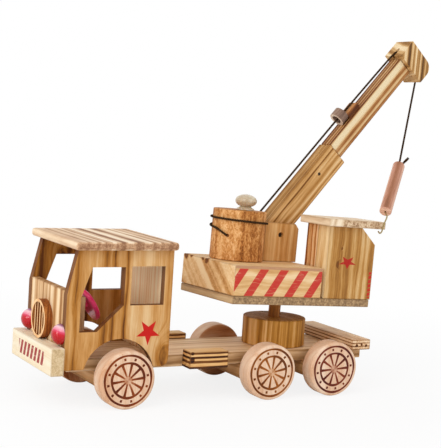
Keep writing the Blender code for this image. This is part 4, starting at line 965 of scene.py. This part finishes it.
# Hook: the weight hangs askew, because its wire is hooked over the crane cab's roof
hook = {
    "roofRear": 70.0, "fromRear": 5.4, "roofLeft": -50.0, "offRoof": 1.5, "bendZ": 73.1, "reach": 75.3,
    "tilt": 49.4, "inBore": 4.7, "tail": 8.8, "tailSlant": 40, "tailUp": 1.2, "tailOff": 2.1,
    "bundle": 0.86, "swell": (1, 1.05, 1.2, 1.35, 1.2),  # the bundle's share of the tail, and how it swells
    "fibres": 22, "fibre": 0.17, "fibreTurn": 2.4, "fibreOut": (0.55, 0.75),
}
inTurret = np.array(turretPlace.inverted() @ jointAt["hook_swing"])
bend = np.array([hook["roofRear"] - hook["fromRear"], hook["roofLeft"] - hook["offRoof"], hook["bendZ"]])
bend -= inTurret / mm
flat = np.array([bend[0], bend[1], 0.0])
flat /= np.linalg.norm(flat)
tilt = math.radians(hook["tilt"])
upWeight = np.array([0, 0, math.cos(tilt)]) - flat * math.sin(tilt)
weightTop = bend + upWeight * hook["reach"]
dropWay = weightTop / np.linalg.norm(weightTop)
drop = np.array([np.zeros(3), weightTop * 0.5, weightTop, weightTop + dropWay * hook["inBore"]])
addRope("twine_drop", "hook", [twistedRope(smoothRoute(placed(hookPlace, drop * mm)))], "rope_drop")

# The rope's end stands out sideways: a bundle that swells, and opens into loose fibres like a brush
slant = math.radians(hook["tailSlant"])
across = np.cross([0, 0, 1], flat)
aside = across * math.sin(slant) + np.array([0, 0, math.cos(slant)])
tailStart = weightTop + upWeight * hook["tailUp"] + across * hook["tailOff"]
bundle = tailStart + aside * hook["tail"] * np.linspace(0, hook["bundle"], 5)[:, None]
shapes = [twistedRope(placed(hookPlace, bundle * mm), hook["swell"])]
sideA = np.cross(aside, [0.2, 1.0, 0.1])
sideA /= np.linalg.norm(sideA)
sideB = np.cross(aside, sideA)
random = np.random.default_rng(7)
near, wider = hook["fibreOut"]
for fibre in range(hook["fibres"]):
    # each fibre leaves at its own angle, a fixed turn on from the last, and further out by its number's root
    angle, spread = hook["fibreTurn"] * fibre, math.sqrt((fibre + 0.5) / hook["fibres"])
    outward = math.cos(angle) * sideA + math.sin(angle) * sideB
    share = np.linspace(0.5, random.uniform(0.90, 1.0), 5)[:, None]
    hair = tailStart + aside * hook["tail"] * share + outward * spread * (near + wider * share**2)
    shapes.append(twistedRope(placed(hookPlace, hair * mm), (1, 0.7), hook["fibre"]))
addRope("twine_frayed_end", "hook", shapes, "rope_tail")

# The weight: a rosy hardwood dowel, sanded smooth, its streaks long and soft
weightWood = {
    "wood": "rosyWood", "colours": ("#e6baa0", "#cc9780", "#a46e52", "#6c4430"),
    "ring": 3.4, "fine": 0.20, "pith": (14, 10), "edge": 0.0, "endDark": -0.25,
    "endSpeckle": 0.1, "seed": 2.2, "wave": 0.6,
}
sideWay = np.cross(upWeight, [0.0, 1.0, 0.0])
sideWay /= np.linalg.norm(sideWay)
weightTurn = Matrix(np.stack([sideWay, np.cross(upWeight, sideWay), upWeight], axis=-1).tolist()).to_4x4()
dress("hook_weight", hookPlace @ weightTurn, "zxy", weightWood)
print("rope and hook done")

# Floor, lamps and the camera's white background
studio = {
    "floor": "#f4f4f4", "floorSize": 3.0, "world": 0.76, "white": (0.84, 1.0), "whiteFrom": (0.16, 0.55),
    "lamps": [  # name, place, watts, width
        ("keyLamp", (-0.85, -0.70, 0.90), 4.3, 0.7),
        ("frontLamp", (-1.25, -0.35, 0.36), 3.2, 0.5),
        ("fillLamp", (0.75, -1.05, 0.55), 2.0, 0.9),
    ],
}


def buildStudio():
    size = studio["floorSize"]
    mesh = bpy.data.meshes.new("studioFloor")
    corners = [(-size, -size, 0), (size, -size, 0), (size, size, 0), (-size, size, 0)]
    mesh.from_pydata(corners, [], [(0, 1, 2, 3)])
    floor = bpy.data.objects.new("studioFloor", mesh)
    floor.location.z = cadBox[0].z - 0.0002
    bpy.context.scene.collection.objects.link(floor)
    paper, tree = newMaterial("whitePaper")
    matt = addNode(tree, "BsdfDiffuse", {"Color": linearColour(studio["floor"])})
    glow = addNode(tree, "Emission", {"Color": (1, 1, 1, 1), "Strength": 1.0})
    path = addNode(tree, "LightPath")
    place = addNode(tree, "TexCoord")
    away = addNode(tree, "VectorMath", {0: place.outputs["Object"]}, operation="LENGTH")
    near, far = studio["whiteFrom"]
    pale, white = studio["white"]
    paleness = addNode(tree, "MapRange", {0: away, 1: near, 2: far, 3: pale, 4: white})
    seen = addNode(tree, "Math", {0: path.outputs["Is Camera Ray"], 1: paleness}, operation="MULTIPLY")
    mixed = addNode(tree, "MixShader", {0: seen, 1: matt, 2: glow})
    addNode(tree, "OutputMaterial", {0: mixed})
    mesh.materials.append(paper)

    world = bpy.data.worlds.new("studioWorld")
    bpy.context.scene.world = world
    world.use_nodes = True
    tree = world.node_tree
    tree.nodes.clear()
    path = addNode(tree, "LightPath")
    direct = path.outputs["Is Camera Ray"]
    for ray in ("Is Glossy Ray", "Is Transmission Ray"):
        direct = addNode(tree, "Math", {0: direct, 1: path.outputs[ray]}, operation="MAXIMUM")
    strength = addNode(tree, "MapRange", {0: direct, 1: 0, 2: 1, 3: studio["world"], 4: 1.0})
    back = addNode(tree, "Background", {"Color": (1, 1, 1, 1), "Strength": strength})
    addNode(tree, "OutputWorld", {0: back})

    for name, spot, energy, width in studio["lamps"]:
        lamp = bpy.data.lights.new(name, "AREA")
        lamp.energy = energy
        lamp.size = width
        holder = bpy.data.objects.new(name, lamp)
        holder.location = spot
        holder.rotation_euler = (Vector((0, 0, 0.1)) - Vector(spot)).to_track_quat("-Z", "Y").to_euler()
        bpy.context.scene.collection.objects.link(holder)
    bpy.context.scene.view_settings.view_transform = "Standard"


buildStudio()
print("studio built")
